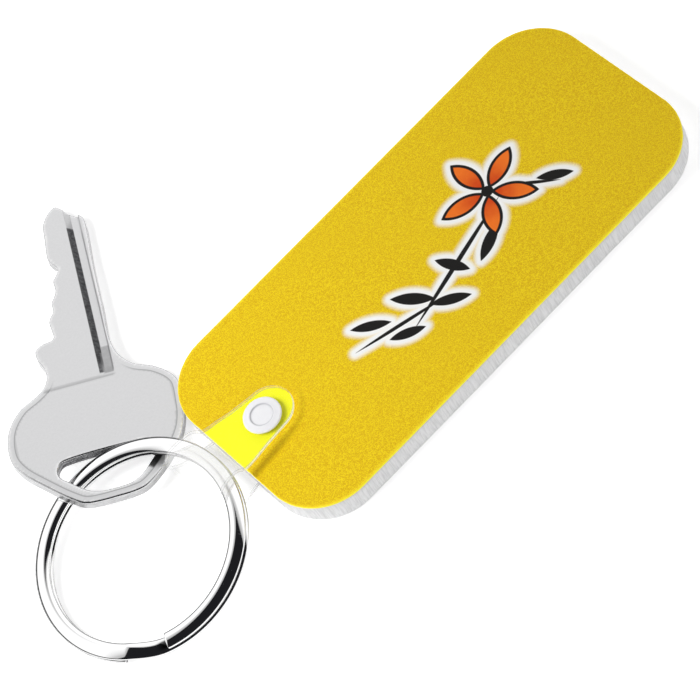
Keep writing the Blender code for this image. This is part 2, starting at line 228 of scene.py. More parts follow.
class KeytagKey(bpy.types.PropertyGroup):
    """Sizes and colour of the key."""

    thickness: length("Thickness", "Key blank", 0.0016)
    tip: vector("Tip", "The tip's underside corner", (-0.027335, 0.053786, 0.000752),
                unit="LENGTH", subtype="TRANSLATION")
    along: vector("Along", "Direction from the bow to the tip",
                  (0.466056, 0.883658, -0.043619), subtype="DIRECTION")
    across: vector("Across", "Direction across the blade, towards the cuts",
                   (-0.859919, 0.464031, 0.212638), subtype="DIRECTION")
    edge: length("Edge", "Rounding of the stamped edges", 0.00018)
    border: length("Border", "Width of the coined border round the bow", 0.00095)
    border_drop: length("Border drop", "How far the border falls away at its rim", 0.00005)
    steel: tint("Steel", "Satin nickel silver of the key", 224, 224, 225)


class KeytagStage(bpy.types.PropertyGroup):
    """Light level and floor of the stage."""

    key_light: number("Main light", "Power of the near soft light, in watts", 0.3)
    fill: number("Fill", "Level of the surrounding light overhead", 0.08)
    side: number("Side", "Level of the surrounding light at the horizon", 1.2)
    shine: number("Shine", "Level of the surroundings in reflections", 1.1)
    floor_light: number("Floor light", "The floor's own light, as it is seen", 0.48)


class Millimetres:
    """Reads the lengths of a settings group in millimetres."""

    def __init__(self, settings):
        self.settings = settings

    def __getattr__(self, name):
        return getattr(self.settings, name) / MM


# mesh helpers

def quads(rows, columns, wrap=False):
    """Quad indices of a rows by columns grid, the columns closed into a loop if wrap."""
    i = np.arange(rows - 1)[:, None]
    j = np.arange(columns if wrap else columns - 1)[None, :]
    a, b = i * columns + j, i * columns + (j + 1) % columns
    return np.stack([a, b, b + columns, a + columns], axis=-1).reshape(-1, 4)


def join_faces(*groups):
    """Face lists one after the other, as plain lists."""
    return [list(map(int, face)) for group in groups for face in group]


def tube_faces(rings, count):
    """Faces of a tube of closed rings of points, with a flat face at each end."""
    ends = np.arange(count)
    return join_faces(quads(rings, count, wrap=True), [ends[::-1]], [ends + count * (rings - 1)])


def make_piece(name, points, faces):
    """A smooth mesh object from millimetre points, its faces turned outwards."""
    mesh = bpy.data.meshes.new(name)
    mesh.from_pydata((np.asarray(points, float) * MM).tolist(), [], faces)
    work = bmesh.new()
    work.from_mesh(mesh)
    bmesh.ops.recalc_face_normals(work, faces=work.faces)
    work.to_mesh(mesh)
    work.free()
    mesh.polygons.foreach_set("use_smooth", np.ones(len(mesh.polygons), bool))
    piece = bpy.data.objects.new(name, mesh)
    bpy.context.scene.collection.objects.link(piece)
    return piece


def set_attributes(piece, **attributes):
    """Keeps one number for each vertex under each name."""
    for name, values in attributes.items():
        layer = piece.data.attributes.new(name, "FLOAT", "POINT")
        layer.data.foreach_set("value", np.asarray(values, np.float32).ravel())


def settle(piece, material, body, node):
    """Gives a piece its material, body and slot, and hides the CAD node that it stands for."""
    piece.data.materials.append(material)
    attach(piece, body)
    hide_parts(node)


def smoothstep(low, high, value):
    """0 below low, 1 above high, and 3t^2 - 2t^3 between them."""
    t = np.clip((value - low) / (high - low), 0.0, 1.0)
    return t * t * (3 - 2 * t)


def bell(value, centre, width):
    """1 at the centre, falling off as exp(-t^2)."""
    return np.exp(-((value - centre) / width) ** 2)


def ripple(rng, position, waves, terms):
    """A seeded sum of sines along position, periods between the two waves, about -1 to 1."""
    periods = np.geomspace(waves[0], waves[1], terms)
    phases = rng.uniform(0, 2 * math.pi, terms)
    weights = rng.uniform(0.5, 1.0, terms)
    angles = 2 * math.pi * np.asarray(position)[..., None] / periods + phases
    return (np.sin(angles) * weights).sum(-1) / math.sqrt((weights ** 2).sum() * 0.5) / 2


def distance_run(points):
    """The distance run along a line of points, from 0."""
    return np.concatenate([[0], np.cumsum(np.linalg.norm(np.diff(points, axis=0), axis=1))])


def resampled(at, run, rows):
    """Rows known at the distances run, worked out at other distances."""
    return np.column_stack([np.interp(at, run, column) for column in rows.T])


def spaced(low, high, fine, coarse, centre, reach):
    """Positions from low to high, fine apart near centre and coarse apart beyond reach."""
    probe = np.linspace(low, high, 2001)
    near = np.exp(-((probe - centre) / reach) ** 4)
    density = near / fine + (1 - near) / coarse
    run = np.concatenate([[0], np.cumsum((density[1:] + density[:-1]) / 2 * np.diff(probe))])
    count = max(2, int(round(run[-1])) + 1)
    return np.interp(np.linspace(0, run[-1], count), run, probe)


class Slab:
    """A rounded rectangle as a grid of columns along x and rows across.

    A column's x is base + (R - inset) sin(phi), and its half width is
    W/2 - R + (R - inset) cos(phi): phi turns through a quarter at either end
    and is 0 between, so the grid's rim is the rounded outline at any inset.
    """

    def __init__(self, tag):
        self.radius = tag.corner
        self.half = tag.length / 2 - self.radius
        self.side = tag.width / 2 - self.radius
        turn = np.linspace(0, math.pi / 2, 53)
        straight = spaced(-self.half, self.half, 0.18, 0.5, -self.half, 6.0)[1:-1]
        self.base = np.concatenate([np.full(len(turn), -self.half), straight,
                                    np.full(len(turn), self.half)])
        self.phi = np.concatenate([-np.flip(turn), np.zeros(len(straight)), turn])
        self.rows = spaced(-1, 1, 0.0115, 0.026, 0.08, 0.5)
        columns, rows = len(self.base), len(self.rows)
        self.rim = np.concatenate([
            np.arange(columns) * rows, (columns - 1) * rows + np.arange(1, rows),
            np.arange(columns - 2, -1, -1) * rows + rows - 1, np.arange(rows - 2, 0, -1)])
        self.line = np.stack(self.grid(0.0), axis=-1).reshape(-1, 2)[self.rim]
        core = np.clip(self.line, [-self.half, -self.side], [self.half, self.side])
        self.out = (self.line - core) / self.radius
        self.out /= np.linalg.norm(self.out, axis=1)[:, None]
        self.run = distance_run(self.line)

    def grid(self, inset):
        """x and y of the whole grid at an inset from the outline."""
        radius = self.radius - inset
        x = self.base + radius * np.sin(self.phi)
        half_width = self.side + radius * np.cos(self.phi)
        return (np.broadcast_to(x[:, None], (len(x), len(self.rows))),
                half_width[:, None] * self.rows)

    def body(self, cap, rings):
        """Points and faces of the grid's cap, rings of wall points given by their way out and
        their height, and a flat end."""
        points, faces, before = [cap], [quads(len(self.base), len(self.rows))], self.rim
        for away, height in rings:
            here = sum(map(len, points)) + np.arange(len(self.rim))
            points.append(np.column_stack([self.line + self.out * away[:, None], height]))
            faces.append(np.stack([before, np.roll(before, -1), np.roll(here, -1), here], axis=-1))
            before = here
        return np.vstack(points), join_faces(*faces, [before])


def strap_rows(tag, strap):
    """The strap's stations: x, z of its mid-sheet line and its lowest and highest y."""
    half = strap.thickness / 2
    face, floor = SKIN_HIGH.z / MM + half, STRAP_LOW.z / MM + half
    crest = STRAP_HIGH.z / MM - half
    edge = -tag.length / 2
    reach = strap.loop_reach - half
    radius = strap.tip_width / 2
    widths = (strap.tip_width, strap.edge_width, strap.crest_width, strap.fold_width)
    middles = [strap.middle + strap.flare * drift for drift in (0, 2, 0.5, 1)]

    def station(x, z, along):
        width = np.interp(along, (0, 1, 2, 3), widths)
        centre = np.interp(along, (0, 1, 2, 3), middles)
        return (x, z, centre - width / 2, centre + width / 2)

    def tab(z):
        turns = [math.pi / 2 * (i + 0.9) / 24.9 for i in range(25)]
        return [(edge + strap.tab_reach - radius * (1 - math.cos(a)), z,
                 strap.middle - radius * math.sin(a), strap.middle + radius * math.sin(a))
                for a in turns]

    rows = tab(face)
    rows += [station(edge + strap.tab_reach * s, face, a) for s, a in ((0.36, 0.42), (0.155, 0.85))]
    for level, loop in ((face, LOOP_UPPER), (floor, LOOP_LOWER)):
        rows += [station(edge - reach * out, level + (crest - level) * up, along)
                 for out, up, along in loop]
    rows.append(station(edge + strap.tab_reach * 0.36, floor, 0.6))
    return np.array(rows + tab(floor)[::-1])


def strap_distance(tag, strap, x, y, lower=False):
    """Distance in plan outside the strap's footprint on the tag, negative inside:
    across the strap up to the tab's middle, and from the round tab's centre past it."""
    edge = -tag.length / 2
    tip = edge + strap.tab_reach - strap.tip_width / 2
    end_width = strap.edge_width * (1.08 if lower else 1.0)
    share = np.clip((x - edge) / (tip - edge), 0, 1)
    half = (end_width + (strap.tip_width - end_width) * share) / 2
    beside = np.abs(y - strap.middle - 2 * strap.flare * (1 - share)) - half
    beyond = np.hypot(x - tip, y - strap.middle) - strap.tip_width / 2
    return np.where(x > tip, beyond, beside)


def near_ring_end(tag, x, y):
    """Two shares: 1 near the tag's ring end, and 1 on its low-y side."""
    return 1 - smoothstep(4.0, 12.5, x + tag.length / 2), 1 - smoothstep(-1.0, 1.5, y)


# material helpers

def shaded(colour, *factors):
    """A colour setting times one factor, or one for each channel, as a node's colour."""
    return (*(min(1.0, c * f) for c, f in zip(colour, factors * (3 // len(factors)))), 1.0)


class Nodes:
    """Adds nodes to one tree. Inputs go by name with _ for a space, or as i0, i1 by place."""

    def __init__(self, tree):
        self.tree = tree

    def feed(self, made, **inputs):
        """Links or sets a node's inputs."""
        for key, value in inputs.items():
            by_place = key[0] == "i" and key[1:].isdigit()
            socket = made.inputs[int(key[1:]) if by_place else key.replace("_", " ")]
            if isinstance(value, bpy.types.NodeSocket):
                self.tree.links.new(value, socket)
            else:
                socket.default_value = value
        return made

    def add(self, kind, settings=(), **inputs):
        """A new node's outputs; settings are pairs for the node itself."""
        made = self.tree.nodes.new("ShaderNode" + kind)
        for key, value in settings:
            setattr(made, key, value)
        return self.feed(made, **inputs).outputs

    def maths(self, operation, *values, clamp=False):
        """One Math node's result."""
        places = {f"i{place}": value for place, value in enumerate(values)}
        return self.add("Math", (("operation", operation), ("use_clamp", clamp)), **places)[0]

    def times(self, *values):
        """A product."""
        return reduce(lambda first, second: self.maths("MULTIPLY", first, second), values)

    def plus(self, *values):
        """A sum."""
        return reduce(lambda first, second: self.maths("ADD", first, second), values)

    def most(self, *values):
        """The greatest of the values."""
        return reduce(lambda first, second: self.maths("MAXIMUM", first, second), values)

    def least(self, *values):
        """The least of the values."""
        return reduce(lambda first, second: self.maths("MINIMUM", first, second), values)

    def vector(self, operation, *values):
        """One Vector Math node's outputs."""
        places = {f"i{place}": value for place, value in enumerate(values)}
        return self.add("VectorMath", (("operation", operation),), **places)

    def scaled(self, place, *factors):
        """A vector times a factor for each axis."""
        return self.vector("MULTIPLY", place, factors)["Vector"]

    def length(self, x, y):
        """The length of a vector in the plane."""
        pair = self.add("CombineXYZ", X=x, Y=y, Z=0.0)[0]
        return self.vector("LENGTH", pair)["Value"]

    def spread(self, value, low, high, to_low=0.0, to_high=1.0, kind="LINEAR"):
        """Maps value from low..high to to_low..to_high, held at both ends."""
        settings = (("clamp", True), ("interpolation_type", kind))
        return self.add("MapRange", settings, i0=value, i1=low, i2=high, i3=to_low, i4=to_high)[0]

    def mixed(self, share, first, second):
        """Two colours mixed by a share."""
        settings = (("data_type", "RGBA"), ("clamp_factor", True))
        return self.add("Mix", settings, i0=share, i6=first, i7=second)[2]

    def attribute(self, name):
        """A vertex attribute's number."""
        return self.add("Attribute", (("attribute_name", name),))["Fac"]

    def place(self):
        """Object coordinates in millimetres."""
        found = self.add("TexCoord")["Object"]
        return self.add("VectorMath", (("operation", "SCALE"),), i0=found, Scale=1 / MM)["Vector"]

    def noise(self, vector, scale, detail=2.0, rough=0.5):
        """Noise from 0 to 1 at a number of features per millimetre."""
        return self.add("TexNoise", Vector=vector, Scale=scale, Detail=detail,
                        Roughness=rough)["Fac"]

    def bump(self, height, strength, distance):
        """A bump's normal, its height in millimetres of the given distance."""
        return self.add("Bump", Height=height, Strength=strength, Distance=distance * MM)["Normal"]

    def turned(self, vector, turn, invert=False):
        """A vector turned about Z."""
        settings = (("rotation_type", "Z_AXIS"), ("invert", invert))
        return self.add("VectorRotate", settings, Vector=vector, Angle=turn)[0]

    def effect(self, name, **inputs):
        """The outputs of a shared node group with its own values."""
        return self.add("Group", (("node_tree", shared_group(name)),), **inputs)


def surface_grain(nodes, vector, scale, contrast):
    """Fine grain: two sizes of noise give a height, and slow noise a blotch mask."""
    fine = nodes.noise(vector, scale, 3.0, 0.65)
    coarse = nodes.noise(vector, nodes.times(scale, 0.31), 2.0, 0.6)
    both = nodes.plus(nodes.times(fine, 0.84), nodes.times(coarse, 0.16))
    centred = nodes.times(nodes.maths("SUBTRACT", both, 0.5), contrast)
    slow = nodes.noise(vector, nodes.times(scale, 0.03), 3.0, 0.55)
    return nodes.maths("ADD", centred, 0.5, clamp=True), nodes.spread(slow, 0.3, 0.7)


def handling_wear(nodes, vector, turn, amount):
    """Handling wear: long thin scratches from stretched noise, and small dull specks."""
    stretched = nodes.scaled(nodes.turned(vector, turn), 0.12, 9.0, 3.0)
    lines = nodes.spread(nodes.noise(stretched, 1.0, 2.0, 0.6), 0.62, 0.78)
    specks = nodes.spread(nodes.noise(vector, 2.6, 2.0, 0.7), 0.66, 0.74)
    return nodes.times(lines, amount), nodes.times(specks, amount)


def petal_distance(nodes, vector, centre, turn, half_length, half_width):
    """Distance from a pointed petal, the overlap of two equal circles.

    In the petal's own turned frame, with half length a and half width b, the
    circles have radius r = (a a + b b) / 2b and stand r - b off its middle
    line, so the distance is the length of (x, |y| + r - b) less r, and past
    either tip, where (|x| - a)(r - b) > |y| a, the distance to that tip.
    """
    moved = nodes.vector("SUBTRACT", vector, centre)["Vector"]
    own = nodes.add("SeparateXYZ", i0=nodes.turned(moved, turn, invert=True))
    squares = nodes.plus(nodes.times(half_length, half_length),
                         nodes.times(half_width, half_width))
    radius = nodes.maths("DIVIDE", squares, nodes.times(half_width, 2.0))
    offset = nodes.maths("SUBTRACT", radius, half_width)
    beside = nodes.maths("ABSOLUTE", own["Y"])
    to_circle = nodes.maths("SUBTRACT", nodes.length(own["X"], nodes.plus(beside, offset)), radius)
    past_tip = nodes.maths("SUBTRACT", nodes.maths("ABSOLUTE", own["X"]), half_length)
    is_tip = nodes.maths("GREATER_THAN", nodes.times(past_tip, offset),
                         nodes.times(beside, half_length))
    return (nodes.spread(is_tip, 0.0, 1.0, to_circle, nodes.length(past_tip, beside)),)


ORIGIN = (0, 0, 0)
EFFECTS = {
    "surface_grain": (
        surface_grain, {"Vector": ORIGIN, "Per Millimetre": 3.0, "Contrast": 1.0},
        ("Grain", "Blotch")),
    "handling_wear": (
        handling_wear, {"Vector": ORIGIN, "Turn": 0.0, "Amount": 0.5}, ("Scratches", "Specks")),
    "petal_distance": (
        petal_distance, {"Vector": ORIGIN, "Centre": ORIGIN, "Angle": 0.0, "Half Length": 3.0,
                         "Half Width": 1.0}, ("Distance",)),
}


def shared_group(name):
    """The node group of an effect, built the first time that it is asked for."""
    tree = bpy.data.node_groups.get(name)
    if tree:
        return tree
    build, inputs, outputs = EFFECTS[name]
    tree = bpy.data.node_groups.new(name, "ShaderNodeTree")
    for label, value in inputs.items():
        kind = "NodeSocketVector" if isinstance(value, tuple) else "NodeSocketFloat"
        socket = tree.interface.new_socket(name=label, in_out="INPUT", socket_type=kind)
        socket.default_value = value
    for label in outputs:
        tree.interface.new_socket(name=label, in_out="OUTPUT", socket_type="NodeSocketFloat")
    start, end = tree.nodes.new("NodeGroupInput"), tree.nodes.new("NodeGroupOutput")
    made = build(Nodes(tree), *(start.outputs[label] for label in inputs))
    for label, value in zip(outputs, made):
        tree.links.new(value, end.inputs[label])
    return tree


def new_material(name):
    """A material, its nodes and its Principled shader."""
    material = bpy.data.materials.new(name)
    material.use_nodes = True
    return material, Nodes(material.node_tree), material.node_tree.nodes["Principled BSDF"]


def sprig(nodes, place):
    """Distances from the sprig in the tag's plan: petals, all of it, and the flower's middle."""
    flat = nodes.scaled(place, 1, 1, 0)

    def nearest(shapes):
        return nodes.least(*(
            nodes.effect("petal_distance", Vector=flat, Centre=(x, y, 0),
                         Angle=math.radians(degrees), Half_Length=half, Half_Width=width)[0]
            for x, y, degrees, half, width in shapes))

    turns = [72 * k + 20 for k in range(5)]
    petals = nearest([(FLOWER[0] + FLOWER_REACH * math.cos(math.radians(t)),
                       FLOWER[1] + FLOWER_REACH * math.sin(math.radians(t)), t, 3.4, 1.45)
                      for t in turns])
    to_middle = nodes.vector("DISTANCE", flat, (*FLOWER, 0))["Value"]
    everything = nodes.least(petals, nearest(LEAVES_AND_STEMS),
                             nodes.maths("SUBTRACT", to_middle, 0.85))
    veins = nodes.noise(nodes.scaled(flat, 0.7, 0.7, 1.0), 1.1)
    return petals, everything, nodes.plus(to_middle, nodes.times(veins, 2.0))


def vinyl_material(tag, printed):
    """Grained yellow vinyl with the printed sprig, painted lighter under the strap for the brighter
    light there, with a painted highlight along its thin cut edge, where a little light of its own
    stands for what passes through the sheet."""
    material, nodes, shader = new_material("grained_yellow_vinyl")
    place = nodes.place()
    grain = nodes.effect("surface_grain", Vector=place, Per_Millimetre=7.2, Contrast=12.5)
    cut_edge, under = nodes.attribute("cut_edge"), nodes.attribute("under_strap")
    deep = shaded(tag.vinyl, 0.82, 0.72, 0.4)
    colour = nodes.mixed(grain["Grain"], deep, shaded(tag.vinyl, 1.15, 1.15, 1.6))
    colour = nodes.mixed(nodes.times(grain["Blotch"], 0.04), colour, deep)
    # painted shade: the valley beside the strap's ridge (fold) is painted darker where shade falls
    # in it
    colour = nodes.mixed(nodes.times(nodes.attribute("fold"), 0.46), colour,
                         shaded(tag.vinyl, 0.42, 0.36, 0.2))
    # painted highlight: the thin cut edge is painted light yellow, as if lit
    colour = nodes.mixed(cut_edge, colour, srgb(255, 238, 60))
    # painted light: the face under the strap is painted a lighter lemon for the brighter light
    # there
    colour = nodes.mixed(under, colour, shaded(tag.painted_light_under_strap, 1))

    petals, everything, from_middle = sprig(nodes, place)
    halo_width = printed.halo_width / MM
    halo = nodes.spread(everything, halo_width, halo_width * 0.25, kind="SMOOTHSTEP")
    colour = nodes.mixed(halo, colour, shaded(printed.halo, 1))
    ink = nodes.spread(everything, 0.05, -0.02)
    colour = nodes.mixed(ink, colour, shaded(printed.ink, 1))
    inner = nodes.mixed(nodes.spread(from_middle, 2.6, 6.2), shaded(printed.petal_deep, 1),
                        shaded(printed.petal, 1))
    colour = nodes.mixed(nodes.spread(nodes.plus(petals, 0.42), 0.05, -0.05), colour, inner)

    on_print = nodes.most(halo, ink)
    # painted light: the cut edge glows faintly, a light of its own for what passes through the
    # sheet
    glow = nodes.mixed(cut_edge, (0, 0, 0, 1), srgb(255, 232, 50))
    gloss = nodes.most(under, nodes.times(on_print, 0.4))
    soften = nodes.spread(nodes.most(on_print, under), 0.0, 1.0, 1.0, 0.25)
    nodes.feed(shader, Base_Color=colour, Specular_IOR_Level=0.22, Emission_Color=glow,
               Emission_Strength=0.3, Roughness=nodes.spread(gloss, 0.0, 1.0, 0.66, 0.4),
               Normal=nodes.bump(nodes.times(grain["Grain"], soften), 0.55, 0.05))
    return material


def foam_material(tag):
    """White closed-cell foam with the upright streaks of a die cut on its sides, which are
    painted darker towards the skin as shade."""
    material, nodes, shader = new_material("die_cut_foam")
    place = nodes.place()
    grain = nodes.effect("surface_grain", Vector=place, Per_Millimetre=2.6, Contrast=1.6)["Grain"]
    wall = nodes.attribute("cut_wall")
    streaks = nodes.noise(nodes.scaled(place, 4.2, 4.2, 0.25), 1.0, 4.0, 0.6)
    tone = nodes.spread(streaks, 0.36, 0.6)
    height = nodes.add("SeparateXYZ", i0=place)["Z"]
    # painted shade: the walls are darkened towards the skin, as a contact shadow under its edge
    shade = nodes.spread(height, 1.2, SKIN_LOW.z / MM, 0.0, 0.45)
    light = shaded(tag.foam, 1.06)
    side = nodes.mixed(nodes.times(tone, nodes.maths("SUBTRACT", 1.0, shade)),
                       shaded(tag.foam, 0.86), light)
    plain = nodes.mixed(grain, shaded(tag.foam, 0.9), light)
    relief = nodes.plus(nodes.times(tone, wall), nodes.times(grain, 0.35))
    nodes.feed(shader, Base_Color=nodes.mixed(wall, plain, side), Roughness=0.85,
               Specular_IOR_Level=0.3, Normal=nodes.bump(relief, 0.6, 0.08))
    return material


def clear_material(strap):
    """Clear soft sheet: almost nothing where it lies on the face, milky where it hangs free,
    with a thin line of painted shade along its corners, a painted highlight on the cut walls of
    its near side, fuller seen edge on, and a faint painted glow."""
    material, nodes, shader = new_material("clear_soft_pvc")
    place = nodes.place()
    inward, free = nodes.attribute("inward"), nodes.attribute("free")
    grain = nodes.effect("surface_grain", Vector=place, Per_Millimetre=0.5, Contrast=1.5)
    body = nodes.spread(free, 0.0, 1.0, 0.012, strap.milk)
    cloud = nodes.times(grain["Blotch"], free, 0.08)
    # painted shade: a thin grey line along the sheet's corners
    line = nodes.times(nodes.spread(inward, -0.06, -0.01), nodes.spread(inward, 0.05, 0.012))
    edge_on = nodes.spread(nodes.add("LayerWeight", Blend=0.5)["Facing"], 0.8, 1.0, 0.0, 0.2)
    on_line = nodes.times(line, nodes.spread(free, 0.0, 1.0, strap.rim, strap.rim * 0.8))
    # painted highlight: the cut wall on the near side is painted pale and opaque, as if lit
    on_wall = nodes.times(nodes.spread(inward, -0.03, -0.09), nodes.attribute("near_side"),
                          nodes.spread(free, 0.0, 1.0, 0.85, 0.3))
    alpha = nodes.maths("MAXIMUM", nodes.plus(body, cloud, edge_on), nodes.most(on_line, on_wall),
                        clamp=True)
    shadow = nodes.add("LightPath")["Is Shadow Ray"]
    wear = nodes.effect("handling_wear", Vector=place, Turn=0.6, Amount=0.4)["Scratches"]
    nodes.feed(shader, Base_Color=nodes.mixed(line, srgb(253, 253, 253), srgb(140, 141, 137)),
               Roughness=nodes.plus(0.12, nodes.times(wear, 0.3)), Specular_IOR_Level=0.3,
               Alpha=nodes.times(alpha, nodes.spread(shadow, 0.0, 1.0, 1.0, 0.12)),
               # painted light: a faint white glow of its own keeps the milky sheet bright
               Emission_Color=WHITE, Emission_Strength=0.03,
               Normal=nodes.bump(wear, 0.15, 0.02))
    return material


def plastic_material():
    """White moulded plastic, faintly grained, with painted grey shade in the grooves of its rings.
    """
    material, nodes, shader = new_material("white_moulded_plastic")
    grain = nodes.effect("surface_grain", Vector=nodes.place(), Per_Millimetre=1.6,
                         Contrast=1.2)["Grain"]
    colour = nodes.mixed(grain, srgb(234, 234, 237), srgb(243, 243, 245))
    # painted shade: the rivet's ring grooves are painted grey
    colour = nodes.mixed(nodes.times(nodes.attribute("groove"), 0.85), colour, srgb(172, 172, 178))
    nodes.feed(shader, Base_Color=colour, Roughness=nodes.spread(grain, 0.0, 1.0, 0.3, 0.42),
               Normal=nodes.bump(grain, 0.2, 0.02))
    return material


def chrome_material():
    """Bright nickel plate with fine handling scratches, duller on the cut ends, painted dark as
    shade between the coils, and painted darker where it turns away, as dark reflection."""
    material, nodes, shader = new_material("bright_nickel_plate")
    wear = nodes.effect("handling_wear", Vector=nodes.place(), Turn=0.9, Amount=0.6)
    cut = nodes.attribute("cut_end")
    # painted shade: the wire's faces between the coils are painted dark
    colour = nodes.mixed(nodes.attribute("seam"), srgb(250, 250, 250), srgb(60, 60, 62))
    colour = nodes.mixed(cut, colour, srgb(120, 120, 122))
    # painted reflection: the wire is painted darker where it turns away, for dark reflections at
    # its edges
    turned = nodes.add("LayerWeight", Blend=0.5)["Facing"]
    colour = nodes.mixed(nodes.spread(turned, 0.38, 0.62, 0.0, 0.85), colour,
                         srgb(104, 104, 106))
    rough = nodes.plus(0.035, nodes.times(wear["Scratches"], 0.18),
                       nodes.times(wear["Specks"], 0.2), nodes.times(cut, 0.35))
    nodes.feed(shader, Base_Color=colour, Metallic=1.0, Roughness=rough,
               Normal=nodes.bump(wear["Scratches"], 0.08, 0.01))
    return material


def steel_material(key):
    """Satin nickel silver: fine tumbled grain on the faces, a painted highlight along the rims,
    painted shade in the border's crease, grey sawn walls with painted dark reflection on the
    hole's walls, a darker milled channel and a black facet of painted dark reflection."""
    material, nodes, shader = new_material("satin_nickel_silver")
    place = nodes.place()
    grain = nodes.effect("surface_grain", Vector=place, Per_Millimetre=3.0, Contrast=1.5)["Grain"]
    wear = nodes.effect("handling_wear", Vector=place, Turn=-1.09, Amount=0.7)
    milling = nodes.noise(nodes.scaled(place, 2.2, 2.2, 0.5), 1.0, 2.0, 0.6)
    sawn = nodes.noise(nodes.scaled(place, 0.8, 0.8, 4.5), 1.0, 3.0, 0.6)
    painted_dark_facet_tone = nodes.spread(wear["Scratches"], 0.2, 0.8, 22.0 / 255, 90.0 / 255)
    layers = (
        # painted highlight: a near-white line along the rounded rims
        (nodes.times(nodes.attribute("rim"), 0.7), srgb(250, 250, 250)),
        # painted shade: a grey line in the coined border's crease and at the neck
        (nodes.times(nodes.attribute("line"), 0.75), srgb(120, 120, 122)),
        (nodes.attribute("milled"), nodes.mixed(
            nodes.spread(milling, 0.4, 0.6), srgb(92, 92, 94), srgb(122, 122, 124))),
        (nodes.attribute("side"), nodes.mixed(
            nodes.spread(sawn, 0.35, 0.65), srgb(176, 176, 177), srgb(204, 204, 205))),
        # painted reflection: the hole's walls are painted dark for the dark interior that they
        # reflect
        (nodes.attribute("bore"), nodes.mixed(
            nodes.spread(sawn, 0.36, 0.62), srgb(84, 84, 86), srgb(168, 168, 170))),
        # painted reflection: the facet beside the hole is painted near black, varied by scratches
        (nodes.attribute("facet"), nodes.add(
            "CombineColor", i0=painted_dark_facet_tone, i1=painted_dark_facet_tone, i2=painted_dark_facet_tone)[0]),
        (nodes.times(wear["Specks"], 0.25), shaded(key.steel, 1)),
    )
    colour = nodes.mixed(grain, shaded(key.steel, 0.93), shaded(key.steel, 1.05))
    for share, layer in layers:
        colour = nodes.mixed(share, colour, layer)
    rough = nodes.plus(nodes.spread(grain, 0.0, 1.0, 0.34, 0.46),
                       nodes.times(nodes.attribute("polished"), -0.28))
    relief = nodes.plus(nodes.times(grain, 0.5), nodes.times(wear["Scratches"], -0.5))
    nodes.feed(shader, Base_Color=colour, Metallic=1.0, Roughness=rough,
               Normal=nodes.bump(relief, 0.25, 0.02))
    return material


# pieces

class KEYTAG_OT_foam_core(bpy.types.Operator):
    """Foam slab: its underside is a height over a rounded grid, pressed in under the strap
    and rivet, and its wall is carried up from that rim with die-cut streaks."""

    bl_idname = "keytag.foam_core"
    bl_label = "Foam core"

    # wall rings: inset as a share of the rounding or in millimetres, share of the height
    ROUNDED = ((0.45, 0.035), (0.12, 0.10))
    WALL = ((0.0, 0.19), (0.05, 0.34), (0.085, 0.5), (0.07, 0.66), (0.03, 0.82), (0.0, 0.93),
            (0.0, 1.0))

    def execute(self, context):
        settings = context.scene.keytag_tag
        tag, strap = Millimetres(settings), Millimetres(context.scene.keytag_strap)
        slab = Slab(tag)
        rng = np.random.default_rng(11)
        high, clearance = FOAM_HIGH.z / MM, 0.02
        recess = STRAP_LOW.z / MM + strap.thickness + clearance

        x, y = slab.grid(tag.foam_edge)
        away = strap_distance(tag, strap, x, y, lower=True)
        rivet_x = -tag.length / 2 + strap.rivet_inset
        seat = np.hypot(x - rivet_x, y - strap.rivet_middle) - strap.flange / 2
        press = np.maximum(recess * (1 - smoothstep(0.12, 1.15, away)),
                           (recess - clearance) * (1 - smoothstep(0.1, 1.0, seat)))
        wave = np.maximum(0.03 * np.sin(x / 5.3 + 0.4) * np.sin(y / 4.1), 0)
        cap = np.stack([x, y, press + wave * smoothstep(0, 4, away)], axis=-1).reshape(-1, 3)

        bottom = cap[slab.rim, 2]
        streaks = 0.035 * ripple(rng, slab.run, (0.55, 3.4), 24)
        rings = []
        for inset, share in [(tag.foam_edge * s, h) for s, h in self.ROUNDED] + list(self.WALL):
            fade = math.sin(math.pi * min(share, 0.97)) ** 0.5
            out = -inset + streaks * fade + 0.02 * fade * ripple(rng, slab.run, (1.2, 9), 8)
            rings.append((np.minimum(out, 0.0) if share > 0.9 else out,
                          bottom + (high - bottom) * share))
        points, faces = slab.body(cap, rings)
        piece = make_piece("foam_slab", points, faces)
        set_attributes(piece, cut_wall=np.arange(len(points)) >= len(cap))
        settle(piece, foam_material(settings), "tag", "foam_core")
        return {"FINISHED"}


